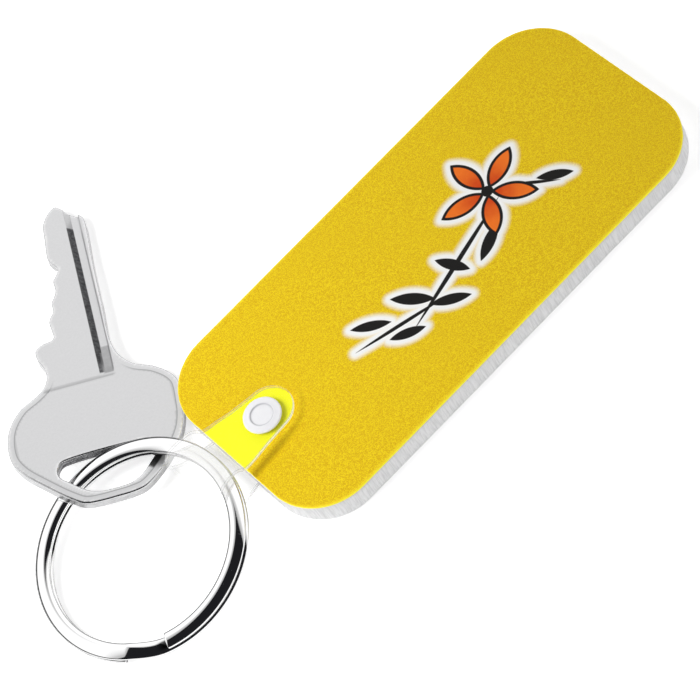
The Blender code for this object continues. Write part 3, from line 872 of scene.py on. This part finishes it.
class KEYTAG_OT_face_skin(bpy.types.Operator):
    """Vinyl face skin: a height over the rounded grid with the ridge and dent that the strap
    presses into it, closed by a slightly ragged cut edge."""

    bl_idname = "keytag.face_skin"
    bl_label = "Face skin"

    # wall rings: inset, drop below the rim, raggedness
    EDGE = ((0.04, 0.035, 0.02), (0.0, 0.11, 0.035), (0.0, 0.22, 0.05), (0.02, 0.33, 0.045))

    def execute(self, context):
        settings = context.scene.keytag_tag
        tag, strap = Millimetres(settings), Millimetres(context.scene.keytag_strap)
        slab = Slab(tag)
        rng = np.random.default_rng(23)
        low, high = SKIN_LOW.z / MM, SKIN_HIGH.z / MM

        x, y = slab.grid(0.13)
        away = strap_distance(tag, strap, x, y)
        near_end, below = near_ring_end(tag, x, y)
        ridge = tag.pucker * (0.12 + 0.88 * below) * (0.25 + 0.75 * near_end)
        lift = ridge * smoothstep(0.0, 0.5, away) * (1 - smoothstep(0.8, 1.4, away))
        lift -= ridge * 0.3 * bell(away, 1.65, 0.4)
        lift = np.where(away < 0, -0.02, lift) - 0.02 * (1 - smoothstep(0.0, 0.3, away))
        slow = 0.018 * np.sin(x / 6.1) * np.sin(y / 4.7 + 0.8) \
            + 0.012 * np.sin(x / 2.9 + y / 3.3)
        lift += slow * smoothstep(0, 5, away) * 0.6
        cap = np.stack([x, y, high + lift], axis=-1).reshape(-1, 3)

        top = cap[slab.rim, 2]
        ragged = 0.5 + 0.5 * np.clip(ripple(rng, slab.run, (0.6, 2.6), 18), -1, 1)
        rings = [(-inset - rough * ragged, np.maximum(top - drop, low))
                 for inset, drop, rough in (*self.EDGE, (0.07, high, 0.0))]
        points, faces = slab.body(cap, rings)
        piece = make_piece("face_skin", points, faces)
        # cut_edge: how much of the painted edge highlight and glow each point gets, most on the
        # wall
        edge = np.ones(len(points))
        edge[:len(cap)], edge[slab.rim] = 0.0, 0.3
        edge[len(cap):len(cap) + len(slab.rim)] = 0.7
        x, y = points[:, 0], points[:, 1]
        away = strap_distance(tag, strap, x, y)
        near_end, below = near_ring_end(tag, x, y)
        # fold marks the valley beside the ridge, where shade is painted into the skin's colour
        dent = smoothstep(0.95, 1.2, away) * (1 - smoothstep(1.2, 2.1, away))
        set_attributes(piece, cut_edge=edge, under_strap=1 - smoothstep(-0.2, -0.02, away),
                       fold=near_end * below * dent)
        settle(piece, vinyl_material(settings, context.scene.keytag_print), "tag",
               "front_skin")
        return {"FINISHED"}


class KEYTAG_OT_strap(bpy.types.Operator):
    """Clear strap: a thin section with round rims carried along the folded line from the tab
    over the ring and back to the tab under the tag."""

    bl_idname = "keytag.strap"
    bl_label = "Clear strap"

    SOFTENING = 0.55  # how far the folds are rounded, millimetres

    def midline(self, rows):
        """The distances along the stations and the smoothed line at them, folds rounded by a
        Gaussian between the two tabs."""
        run = distance_run(rows[:, :2])
        fine = np.unique(np.concatenate([np.linspace(0, run[-1], 260), run[:25], run[-25:]]))
        even = np.linspace(0, run[-1], 2400)
        curve = resampled(even, run, rows)
        width = self.SOFTENING / (even[1] - even[0])
        taps = np.arange(-int(3 * width), int(3 * width) + 1)
        kernel = np.exp(-0.5 * (taps / width) ** 2)
        kernel /= kernel.sum()
        padded = np.pad(curve, ((len(taps) // 2,) * 2, (0, 0)), mode="edge")
        rounded = np.column_stack([np.convolve(c, kernel, mode="valid") for c in padded.T])
        inner = smoothstep(8.0, 10.5, even) * smoothstep(8.0, 10.5, run[-1] - even)
        return fine, resampled(fine, even, curve + (rounded - curve) * inner[:, None])

    def execute(self, context):
        settings = context.scene.keytag_strap
        tag, strap = Millimetres(context.scene.keytag_tag), Millimetres(settings)
        half, radius = strap.thickness / 2, strap.tip_width / 2
        end = -tag.length / 2
        run, line = self.midline(strap_rows(tag, strap))
        step = np.gradient(line[:, :2], run, axis=0)
        step /= np.linalg.norm(step, axis=1)[:, None]
        # the section: across from -1 to 1 and the rim's half round beyond it
        steps = np.array([0.0, 0.01, 0.022, 0.036, 0.055, 0.09, 0.2, 0.4, 0.7])
        across = np.concatenate([steps - 1, [0.0], 1 - steps[::-1]])
        level, ones = np.zeros(len(across)), np.ones(len(across))
        turn = np.linspace(-math.pi / 2, math.pi / 2, 7)[1:-1]
        side = np.concatenate([across, np.ones(5), -across, -np.ones(5)])
        bulge = np.concatenate([level, np.cos(turn), level, -np.cos(turn)])
        height = np.concatenate([-ones, np.sin(turn), ones, -np.sin(turn)])

        centre, reach = (line[:, 2] + line[:, 3]) / 2, (line[:, 3] - line[:, 2]) / 2 - half
        y = centre[:, None] + reach[:, None] * side + half * bulge
        x = line[:, :1] + step[:, 1:] * half * height
        z = line[:, 1:2] - step[:, :1] * half * height
        count = len(side)
        piece = make_piece("clear_strap", np.stack([x, y, z], axis=-1).reshape(-1, 3),
                           tube_faces(len(run), count))

        tip = end + strap.tab_reach - radius
        from_tip = radius - np.hypot(np.maximum(x - tip, 0), y - strap.middle)
        inward = reach[:, None] * (1 - np.abs(side))
        inward = np.where(x > tip, np.minimum(inward, np.maximum(from_tip, 0)), inward)
        set_attributes(
            piece, inward=np.where(bulge == 0, inward, -0.15 * np.abs(bulge)),
            near_side=np.broadcast_to(np.where(side < 0, 1.0, 0.12), x.shape),
            free=np.repeat(1 - smoothstep(-0.5, 0.1, line[:, 0] - end), count))
        settle(piece, clear_material(settings), "tag", "strap")
        return {"FINISHED"}


class KEYTAG_OT_rivet(bpy.types.Operator):
    """Snap rivet: two profiles turned round the rivet's own axis, the head with a raised
    inner ring and the washer under the tag."""

    bl_idname = "keytag.rivet"
    bl_label = "Rivet"

    SIDES = 96

    def turned(self, profile):
        """Points and faces of a profile of radius and height turned round, its ends closed."""
        line, turn = np.array(profile), 2 * math.pi * np.arange(self.SIDES) / self.SIDES
        rings = line[line[:, 0] > 0]
        x, y = rings[:, :1] * np.cos(turn), rings[:, :1] * np.sin(turn)
        points = np.stack([x, y, np.broadcast_to(rings[:, 1:], x.shape)], axis=-1).reshape(-1, 3)
        faces = list(quads(len(rings), self.SIDES, wrap=True))
        for ring, (radius, height) in ((0, line[0]), (len(rings) - 1, line[-1])):
            ends = ring * self.SIDES + np.arange(self.SIDES)
            if radius > 0:
                faces.append(ends)
                continue
            faces += [(a, b, len(points)) for a, b in zip(ends, np.roll(ends, -1))]
            points = np.vstack([points, [0, 0, height]])
        return points, join_faces(faces)

    def execute(self, context):
        tag = Millimetres(context.scene.keytag_tag)
        strap = Millimetres(context.scene.keytag_strap)
        centre = np.array([-tag.length / 2 + strap.rivet_inset, strap.rivet_middle, 0])
        rim = strap.flange / 2
        seat = SKIN_HIGH.z / MM + strap.thickness
        shank = ((1.4, 0.05), (1.4, 2.0), (1.4, seat - 0.05))
        # the head's radii and heights above its seat
        above = ((1.42, 0), (rim - 0.1, 0), (rim - 0.02, 0.04), (rim, 0.12), (rim - 0.02, 0.22),
                 (rim - 0.08, 0.29), (rim - 0.2, 0.33), (2.3, 0.35), (2.0, 0.38), (1.86, 0.43),
                 (1.76, 0.44), (1.68, 0.41), (1.62, 0.33), (1.55, 0.29), (1.4, 0.28),
                 (0.9, 0.29), (0.45, 0.3), (0.0, 0.3))
        head = shank + tuple((radius, seat + height) for radius, height in above)
        washer = ((0.0, 0.04), (0.9, 0.03), (1.3, 0.0), (rim - 0.2, 0.0), (rim - 0.06, 0.05),
                  (rim, 0.18), (rim, 0.42), (rim - 0.05, 0.5), (1.42, 0.5), (1.4, 0.45),
                  (0.0, 0.45))
        material = plastic_material()
        for name, profile, node, groove, width in (
                ("rivet_head", head, "rivet_post", 1.62, 0.08),
                ("rivet_washer", washer, "rivet_cap", 1.35, 0.1)):
            points, faces = self.turned(profile)
            piece = make_piece(name, points + centre, faces)
            radius = np.hypot(points[:, 0], points[:, 1])
            # groove marks where shade is painted in the rings' grooves
            set_attributes(piece, groove=bell(radius, groove, width) * (radius > 0.5))
            settle(piece, material, "tag", node)
        return {"FINISHED"}


class KEYTAG_OT_split_ring(bpy.types.Operator):
    """Split ring: a flattened round section, leaning down outwards, carried twice round the
    tilted circle and dropping by one pitch through the step, with two cut ends."""

    bl_idname = "keytag.split_ring"
    bl_label = "Split ring"

    END_CAP = math.radians(0.28)  # how far the wire is rounded off at its cut ends
    SQUARENESS = 2.1  # the power of the wire's section, 2 for an ellipse

    def execute(self, context):
        settings = context.scene.keytag_ring
        ring, cap = Millimetres(settings), self.END_CAP
        ex = np.array([math.cos(settings.tilt), 0.0, math.sin(settings.tilt)])
        ey = np.array([0.0, 1.0, 0.0])
        ez = np.cross(ex, ey)
        once_round = 2 * math.pi - settings.step_span - 2 * settings.end_gap
        start = settings.step_angle + settings.step_span / 2 + settings.end_gap
        first = start + once_round
        second = first + settings.step_span
        final = second + once_round
        angles = np.concatenate([
            [start, start + cap * 0.3], np.linspace(start + cap, first, 420),
            np.linspace(first, second, 44)[1:], np.linspace(second, final - cap, 420)[1:],
            [final - cap * 0.3, final]])
        share = np.clip((angles - first) / (second - first), 0, 1)
        level = ring.pitch / 2 * np.cos(math.pi * share)
        shrink = np.ones((len(angles), 1))
        shrink[[0, -1]], shrink[[1, -2]] = 0.86, 0.95

        around = 2 * math.pi * np.arange(36) / 36
        flat_w, flat_h = (size / 2 * np.sign(wave) * np.abs(wave) ** (2 / self.SQUARENESS)
                          for size, wave in ((ring.wire_width, np.cos(around)),
                                             (ring.wire_height, np.sin(around))))
        lean = settings.lean
        section_w = shrink * (flat_w * math.cos(lean) + flat_h * math.sin(lean))
        section_h = shrink * (flat_h * math.cos(lean) - flat_w * math.sin(lean))
        radial = np.outer(np.cos(angles), ex) + np.outer(np.sin(angles), ey)
        out = ring.radius - ring.wire_width / 2 + section_w
        points = np.array(settings.centre) / MM + radial[:, None, :] * out[:, :, None] \
            + ez * (level[:, None] + section_h)[:, :, None]
        piece = make_piece("wound_ring", points.reshape(-1, 3),
                           tube_faces(len(angles), len(around)))
        towards = np.where(share[:, None] < 0.5, -1, 1) * np.sin(around)
        off_step = 1 - smoothstep(0.02, 0.3, np.minimum(share, 1 - share))[:, None]
        cut = np.zeros(towards.shape)
        cut[[0, -1]] = 1
        # painted shade: where the dark band between the coils is painted
        set_attributes(piece, seam=smoothstep(0.8, 0.97, towards) * off_step, cut_end=cut)
        settle(piece, chrome_material(), "ring", "split_ring")
        return {"FINISHED"}


def smooth_outline(points, spacing):
    """A dense closed curve through the points: Catmull-Rom by the root of the chord,
    worked out for all spans at once at equal shares and then respaced by its length."""
    p1 = np.array(points, float)
    p0, p2, p3 = np.roll(p1, 1, axis=0), np.roll(p1, -1, axis=0), np.roll(p1, -2, axis=0)
    t1, step2, step3 = (np.sqrt(np.linalg.norm(b - a, axis=1))[:, None, None]
                        for a, b in ((p0, p1), (p1, p2), (p2, p3)))
    t2, t3 = t1 + step2, t1 + step2 + step3
    t = t1 + step2 * np.linspace(0, 1, 24, endpoint=False)[None, :, None]
    p0, p1, p2, p3 = (p[:, None, :] for p in (p0, p1, p2, p3))
    a1 = p0 * (t1 - t) / t1 + p1 * t / t1
    a2 = p1 * (t2 - t) / (t2 - t1) + p2 * (t - t1) / (t2 - t1)
    a3 = p2 * (t3 - t) / (t3 - t2) + p3 * (t - t2) / (t3 - t2)
    b1 = a1 * (t2 - t) / t2 + a2 * t / t2
    b2 = a2 * (t3 - t) / (t3 - t1) + a3 * (t - t1) / (t3 - t1)
    curve = (b1 * (t2 - t) / (t2 - t1) + b2 * (t - t1) / (t2 - t1)).reshape(-1, 2)
    closed = np.vstack([curve, curve[:1]])
    run = distance_run(closed)
    even = np.linspace(0, run[-1], int(round(run[-1] / spacing)), endpoint=False)
    return resampled(even, run, closed)


def signed_area(loop):
    """Twice the area inside a closed line, positive when it runs anticlockwise."""
    x, y = loop.T
    return np.sum(x * np.roll(y, -1) - y * np.roll(x, -1))


def in_blocks(points, work):
    """An answer for each point, worked out for 4000 points at a time."""
    return np.concatenate([work(points[k:k + 4000]) for k in range(0, len(points), 4000)])


def line_distance(points, loop):
    """Least distance from each point to a closed line of points, by its segments."""
    step = np.roll(loop, -1, axis=0) - loop
    length_squared = (step ** 2).sum(1)

    def work(block):
        p = block[:, None, :] - loop
        share = np.clip((p * step).sum(-1) / length_squared, 0, 1)
        return np.sqrt(((p - share[..., None] * step) ** 2).sum(-1)).min(1)

    return in_blocks(points, work)


def inside(points, loop):
    """Whether each point is inside a closed line, by counting crossings."""
    x0, y0 = loop.T
    x1, y1 = np.roll(x0, -1), np.roll(y0, -1)

    def work(block):
        px, py = block[:, :1], block[:, 1:]
        at = x0 + (py - y0) * (x1 - x0) / np.where(y1 == y0, 1e-9, y1 - y0)
        return ((((y0 > py) != (y1 > py)) & (px < at)).sum(1) % 2).astype(bool)

    return in_blocks(points, work)


def offset_loop(loop, distance):
    """A closed line moved along its own left-hand normals."""
    tangent = np.roll(loop, -1, axis=0) - np.roll(loop, 1, axis=0)
    tangent /= np.linalg.norm(tangent, axis=1)[:, None]
    return loop + np.column_stack([-tangent[:, 1], tangent[:, 0]]) * distance


class KEYTAG_OT_house_key(bpy.types.Operator):
    """House key: the plan is triangulated once, and its two faces are heights over the plan.

    A height is half the thickness, less the rounding by the distance from the edge, less the
    coined border's fall by the same distance on the bow, less the milled channel's section by
    the place across the blade, run out on a ramp towards the bow. Loops of points beside the
    outline, the hole and the border's crease keep those forms sharp. Masks over the plan
    colour the rims with a painted highlight, the crease with painted shade, the channel, the
    hole's walls with painted dark reflection, and the facet beside the hole painted dark as a
    reflection."""

    bl_idname = "keytag.house_key"
    bl_label = "House key"

    def plan(self, outer, hole, edge, border):
        """Points and triangles between the outline and the hole."""
        near = [offset_loop(loop, d) for d in (edge * 0.45, edge) for loop in (outer, hole)]
        lines = np.array(CHANNEL_ROWS)
        extra = np.arange(-12.6, 14.0, 0.3)
        extra = extra[np.min(np.abs(extra[:, None] - lines[None]), axis=1) > 0.17]
        across = np.sort(np.concatenate([extra, lines]))
        gx, gy = np.meshgrid(np.arange(-52.0, 0.3, 0.27), across)
        lattice = np.column_stack([gx.ravel(), gy.ravel()])
        lattice = lattice[inside(lattice, outer) & ~inside(lattice, hole)]
        gap = np.minimum(line_distance(lattice, outer), line_distance(lattice, hole))
        lattice = lattice[gap > edge + 0.09]
        off_crease = np.abs(line_distance(lattice, outer) - border - 0.02) > 0.17
        lattice = lattice[off_crease | (lattice[:, 0] > BOW_END)]
        crease = np.vstack([offset_loop(outer, border + d) for d in (-0.06, 0.0, 0.05, 0.11)])
        crease = crease[(crease[:, 0] < BOW_END) & (line_distance(crease, outer) > border - 0.08)
                        & (line_distance(crease, hole) > edge + 0.1)]
        constraints = []
        for first, count in ((0, len(outer)), (len(outer), len(hole))):
            constraints += [(first + k, first + (k + 1) % count) for k in range(count)]
        points = np.vstack([outer, hole, *near, crease, lattice])
        flat, _, triangles, *_ = delaunay_2d_cdt(
            [Vector(p) for p in points.tolist()], constraints, [], 0, 1e-7)
        flat, triangles = np.array([tuple(p) for p in flat]), np.array(triangles)
        middle = flat[triangles].mean(1)
        triangles = triangles[inside(middle, outer) & ~inside(middle, hole)]
        used = np.unique(triangles)
        fresh = np.full(len(flat), -1)
        fresh[used] = np.arange(len(used))
        return flat[used], fresh[triangles]

    def execute(self, context):
        settings = context.scene.keytag_key
        key = Millimetres(settings)
        thick, edge, border = key.thickness, key.edge, key.border
        outer, hole = smooth_outline(KEY_OUTLINE, 0.2), smooth_outline(KEY_HOLE, 0.2)
        outer = outer[::-1] if signed_area(outer) < 0 else outer
        hole = hole[::-1] if signed_area(hole) > 0 else hole
        flat, triangles = self.plan(outer, hole, edge, border)

        to_outer, to_hole = line_distance(flat, outer), line_distance(flat, hole)
        gap = np.minimum(to_outer, to_hole)
        round_off = edge - np.sqrt(np.maximum(edge ** 2 - np.maximum(edge - gap, 0) ** 2, 0))
        x, y = flat.T
        bow = 1 - smoothstep(-32.5, -29.6, x)
        coined = key.border_drop * bow * np.clip(1 - to_outer / border, 0, 1)
        depth = 0.75 * np.clip((x + 31.0) / 5.0, 0, 1) ** 0.7 * (x > -31.1)
        channel = depth * (1 - np.clip((y + 1.85) / 0.8, 0, 1)) * np.clip((y + 3.05) / 0.08, 0, 1)
        neck = bell(x, -31.55, 0.13) * smoothstep(-3.2, -2.7, y) * (to_outer > 0.5)
        groove = 0.45 * smoothstep(0.3, 0.42, y) * (1 - smoothstep(1.66, 1.78, y)) \
            * smoothstep(-29.6, -28.2, x)
        under = -thick / 2 + round_off + coined * 0.6 + groove
        top = np.maximum(thick / 2 - round_off - coined - channel - 0.1 * neck, under + 0.3)

        count = len(flat)
        edges = np.vstack([triangles[:, pair] for pair in ([0, 1], [1, 2], [2, 0])])
        pairs, uses = np.unique(np.sort(edges, axis=1), axis=0, return_counts=True)
        rim_edges = pairs[uses == 1]
        rim = np.unique(rim_edges)
        place = np.zeros(count, int)
        place[rim] = np.arange(len(rim))
        upper = 2 * count + place[rim_edges]
        lower = upper + len(rim)
        walls = [np.column_stack([first, second[:, ::-1]]) for first, second in
                 ((rim_edges, upper), (upper, lower), (lower, rim_edges + count))]
        e_along, e_across = np.array(settings.along), np.array(settings.across)
        e_up = np.cross(e_along, e_across)
        base = np.array(settings.tip) / MM + np.outer(x, e_along) + np.outer(y, e_across) \
            + e_up * thick / 2
        bevel = 0.03
        points = np.vstack([spots + np.outer(height, e_up) for spots, height in (
            (base, top), (base, under), (base[rim], top[rim] - bevel),
            (base[rim], under[rim] + bevel))])
        piece = make_piece("house_key_blank", points,
                           join_faces(triangles, triangles[:, ::-1] + count, *walls))

        low_side = np.interp(x, (-30.9, -25.9), (-1.55, -1.85)) - 0.01
        milled = (y > low_side) & (y < -1.04) & (x > -30.9) & (x < -4.3)
        ramped = ((y > -2.97) & (y <= low_side) & (x > -31.05) & (x < -25.9)) * 0.45
        # the hole's walls, where a dark reflection is painted; the other walls are the sawn sides
        bore = (to_hole < to_outer)[rim].astype(float)
        # facet: a patch of the top face beside the hole that is painted dark as a reflection
        beside = (x - FACET_X) * -0.75 + (y - FACET_Y) * 0.66
        beyond = (x - FACET_X) * -0.66 + (y - FACET_Y) * -0.75
        facet = smoothstep(-1.3, -1.0, beside) * (1 - smoothstep(1.95, 2.25, beside)) \
            * smoothstep(-0.5, -0.3, beyond) * (1 - smoothstep(1.75, 1.95, beyond)) \
            * (to_outer > border + 0.1)
        # painted highlight: the line along the rims where a glint is painted
        painted_rim_highlight = bell(gap, edge + 0.1, 0.07)
        polished = 1 - smoothstep(edge * 0.9, edge * 1.15, gap)
        # where shade is painted in the border's crease and the neck's groove
        crease = np.clip(bow * bell(to_outer, border + 0.05, 0.07) + 0.8 * neck, 0, 1)
        none, no_wall = np.zeros(count), np.zeros(len(rim))
        masks = {  # values on the upper face, the under face and the wall
            "milled": (np.maximum(milled, ramped), none, no_wall),
            "rim": (painted_rim_highlight, painted_rim_highlight, no_wall),
            "polished": (polished, polished, no_wall + 0.5),
            "line": (crease, crease, no_wall),
            "side": (none, none, 1 - bore),
            "bore": (none, none, bore),
            "facet": (facet, none, bore * facet[rim]),
        }
        set_attributes(piece, **{name: np.concatenate([upper_face, under_face, wall, wall])
                                 for name, (upper_face, under_face, wall) in masks.items()})
        settle(piece, steel_material(settings), "key", "house_key")
        return {"FINISHED"}


class KEYTAG_OT_stage(bpy.types.Operator):
    """Pale floor, one soft lamp and soft surroundings with unlit directions, and the camera."""

    bl_idname = "keytag.stage"
    bl_label = "Stage"

    LAMP_PLACE, LAMP_AIM, LAMP_SIZE = (-0.14, 0.05, 0.155), (-0.015, 0.01, 0), 0.12
    CAMERA_PLACE = (-0.0696, -0.2290, 0.3387)
    CAMERA_RIGHT, CAMERA_BACK = (0.6955, -0.6409, -0.3249), (-0.1311, -0.5578, 0.8196)
    FLOOR_REACH = 1500.0

    def execute(self, context):
        stage, scene = context.scene.keytag_stage, context.scene
        self.floor(stage)
        self.world(stage)
        light = bpy.data.lights.new("overhead", "AREA")
        light.shape, light.size, light.size_y = "RECTANGLE", self.LAMP_SIZE, self.LAMP_SIZE
        light.energy = stage.key_light
        lamp = bpy.data.objects.new("overhead", light)
        lamp.location = self.LAMP_PLACE
        lamp.visible_glossy = False
        aim = Vector(self.LAMP_AIM) - lamp.location
        lamp.rotation_euler = aim.to_track_quat("-Z", "Y").to_euler()
        scene.collection.objects.link(lamp)
        camera = bpy.data.cameras.new("camera")
        camera.sensor_width, camera.lens = 36.0, 158.18
        camera.clip_start, camera.clip_end = 0.01, 20.0
        viewer = bpy.data.objects.new("camera", camera)
        back = Vector(self.CAMERA_BACK).normalized()
        up = back.cross(Vector(self.CAMERA_RIGHT).normalized()).normalized()
        turned = Matrix((up.cross(back), up, back)).transposed().to_4x4()
        viewer.matrix_world = Matrix.Translation(self.CAMERA_PLACE) @ turned
        scene.collection.objects.link(viewer)
        scene.camera = viewer
        scene.view_settings.view_transform = "Standard"
        return {"FINISHED"}

    def floor(self, stage):
        """A wide flat grid just below the tag; its light of its own is seen in full by the
        camera and through the clear strap, and by half in reflections."""
        side = np.linspace(-self.FLOOR_REACH, self.FLOOR_REACH, 13)
        x, y = np.meshgrid(side, side, indexing="ij")
        points = np.column_stack([x.ravel(), y.ravel(), np.full(x.size, -0.02)])
        floor = make_piece("floor", points, join_faces(quads(13, 13)[:, ::-1]))
        material, nodes, shader = new_material("white_floor")
        rays = nodes.add("LightPath")
        seen = nodes.most(rays["Is Camera Ray"], rays["Is Transmission Ray"],
                          nodes.times(rays["Is Glossy Ray"], 0.5))
        nodes.feed(shader, Base_Color=srgb(248, 248, 248), Roughness=0.9, Specular_IOR_Level=0.1,
                   Emission_Color=WHITE, Emission_Strength=nodes.times(seen, stage.floor_light))
        floor.data.materials.append(material)

    @staticmethod
    def world(stage):
        """White to the camera; soft light that grows towards the horizon and towards +X; and
        for shiny surfaces an unlit wedge of directions over the tag's long side, with a grey
        margin, and a low dark band, so that bright metal shows the dark bands of a room."""
        world = bpy.data.worlds.new("studio")
        bpy.context.scene.world = world
        world.use_nodes = True
        world.node_tree.nodes.clear()
        nodes = Nodes(world.node_tree)
        unit = nodes.vector("NORMALIZE", nodes.add("TexCoord")["Generated"])["Vector"]
        way = nodes.add("SeparateXYZ", i0=unit)
        rays = nodes.add("LightPath")
        sideways = nodes.plus(nodes.times(way["X"], 0.4),
                              nodes.times(nodes.maths("ABSOLUTE", way["X"]), 0.95))
        wedge = nodes.plus(way["Y"], sideways)
        lifted = nodes.spread(way["Z"], 0.18, 0.24)
        high = nodes.times(nodes.spread(wedge, 0.54, 0.46), lifted)
        margin = nodes.times(nodes.spread(wedge, 0.66, 0.54, 0.0, 0.5), lifted)
        low = nodes.times(nodes.spread(way["Z"], 0.36, 0.28), nodes.spread(way["Z"], 0.0, 0.03),
                          nodes.spread(way["Y"], -0.5, -0.25))
        dark = nodes.times(nodes.most(high, margin, low), rays["Is Glossy Ray"])
        soft = nodes.times(nodes.spread(way["Z"], 0.0, 1.0, stage.side, stage.fill),
                           nodes.spread(way["X"], -1.0, 1.0, 0.68, 1.4))
        around = nodes.add("Background", Color=nodes.mixed(dark, WHITE, (0.012, 0.012, 0.014, 1)),
                           Strength=nodes.spread(rays["Is Glossy Ray"], 0, 1, soft, stage.shine))
        white = nodes.add("Background", Color=WHITE, Strength=1.0)
        seen = nodes.most(rays["Is Camera Ray"], rays["Is Transmission Ray"])
        both = nodes.add("MixShader", i0=seen, i1=around[0], i2=white[0])
        nodes.add("OutputWorld", Surface=both[0])


class VIEW3D_PT_keytag(bpy.types.Panel):
    """Key tag panel: the pieces in order, then the sizes and colours."""

    bl_label = "Key tag"
    bl_idname = "VIEW3D_PT_keytag"
    bl_space_type = "VIEW_3D"
    bl_region_type = "UI"
    bl_category = "Key tag"

    def draw(self, context):
        layout = self.layout
        for operator in OPERATORS:
            layout.operator(operator.bl_idname)
        for name, group in GROUPS:
            box = layout.box()
            box.label(text=group.__doc__)
            settings = getattr(context.scene, name)
            for key in group.__annotations__:
                box.prop(settings, key)


OPERATORS = (KEYTAG_OT_foam_core, KEYTAG_OT_face_skin, KEYTAG_OT_strap, KEYTAG_OT_rivet,
             KEYTAG_OT_split_ring, KEYTAG_OT_house_key, KEYTAG_OT_stage)
GROUPS = (("keytag_tag", KeytagTag), ("keytag_print", KeytagPrint), ("keytag_strap", KeytagStrap),
          ("keytag_ring", KeytagRing), ("keytag_key", KeytagKey), ("keytag_stage", KeytagStage))


def register():
    for name, group in GROUPS:
        bpy.utils.register_class(group)
        setattr(bpy.types.Scene, name, bpy.props.PointerProperty(type=group))
    for operator in OPERATORS:
        bpy.utils.register_class(operator)
    bpy.utils.register_class(VIEW3D_PT_keytag)


def unregister():
    bpy.utils.unregister_class(VIEW3D_PT_keytag)
    for operator in reversed(OPERATORS):
        bpy.utils.unregister_class(operator)
    for name, group in reversed(GROUPS):
        delattr(bpy.types.Scene, name)
        bpy.utils.unregister_class(group)


def main():
    """Builds every piece in order."""
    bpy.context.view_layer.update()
    register()
    bpy.ops.keytag.foam_core()
    bpy.ops.keytag.face_skin()
    bpy.ops.keytag.strap()
    bpy.ops.keytag.rivet()
    bpy.ops.keytag.split_ring()
    bpy.ops.keytag.house_key()
    bpy.ops.keytag.stage()
    bpy.context.view_layer.update()


if __name__ == "__main__":
    main()
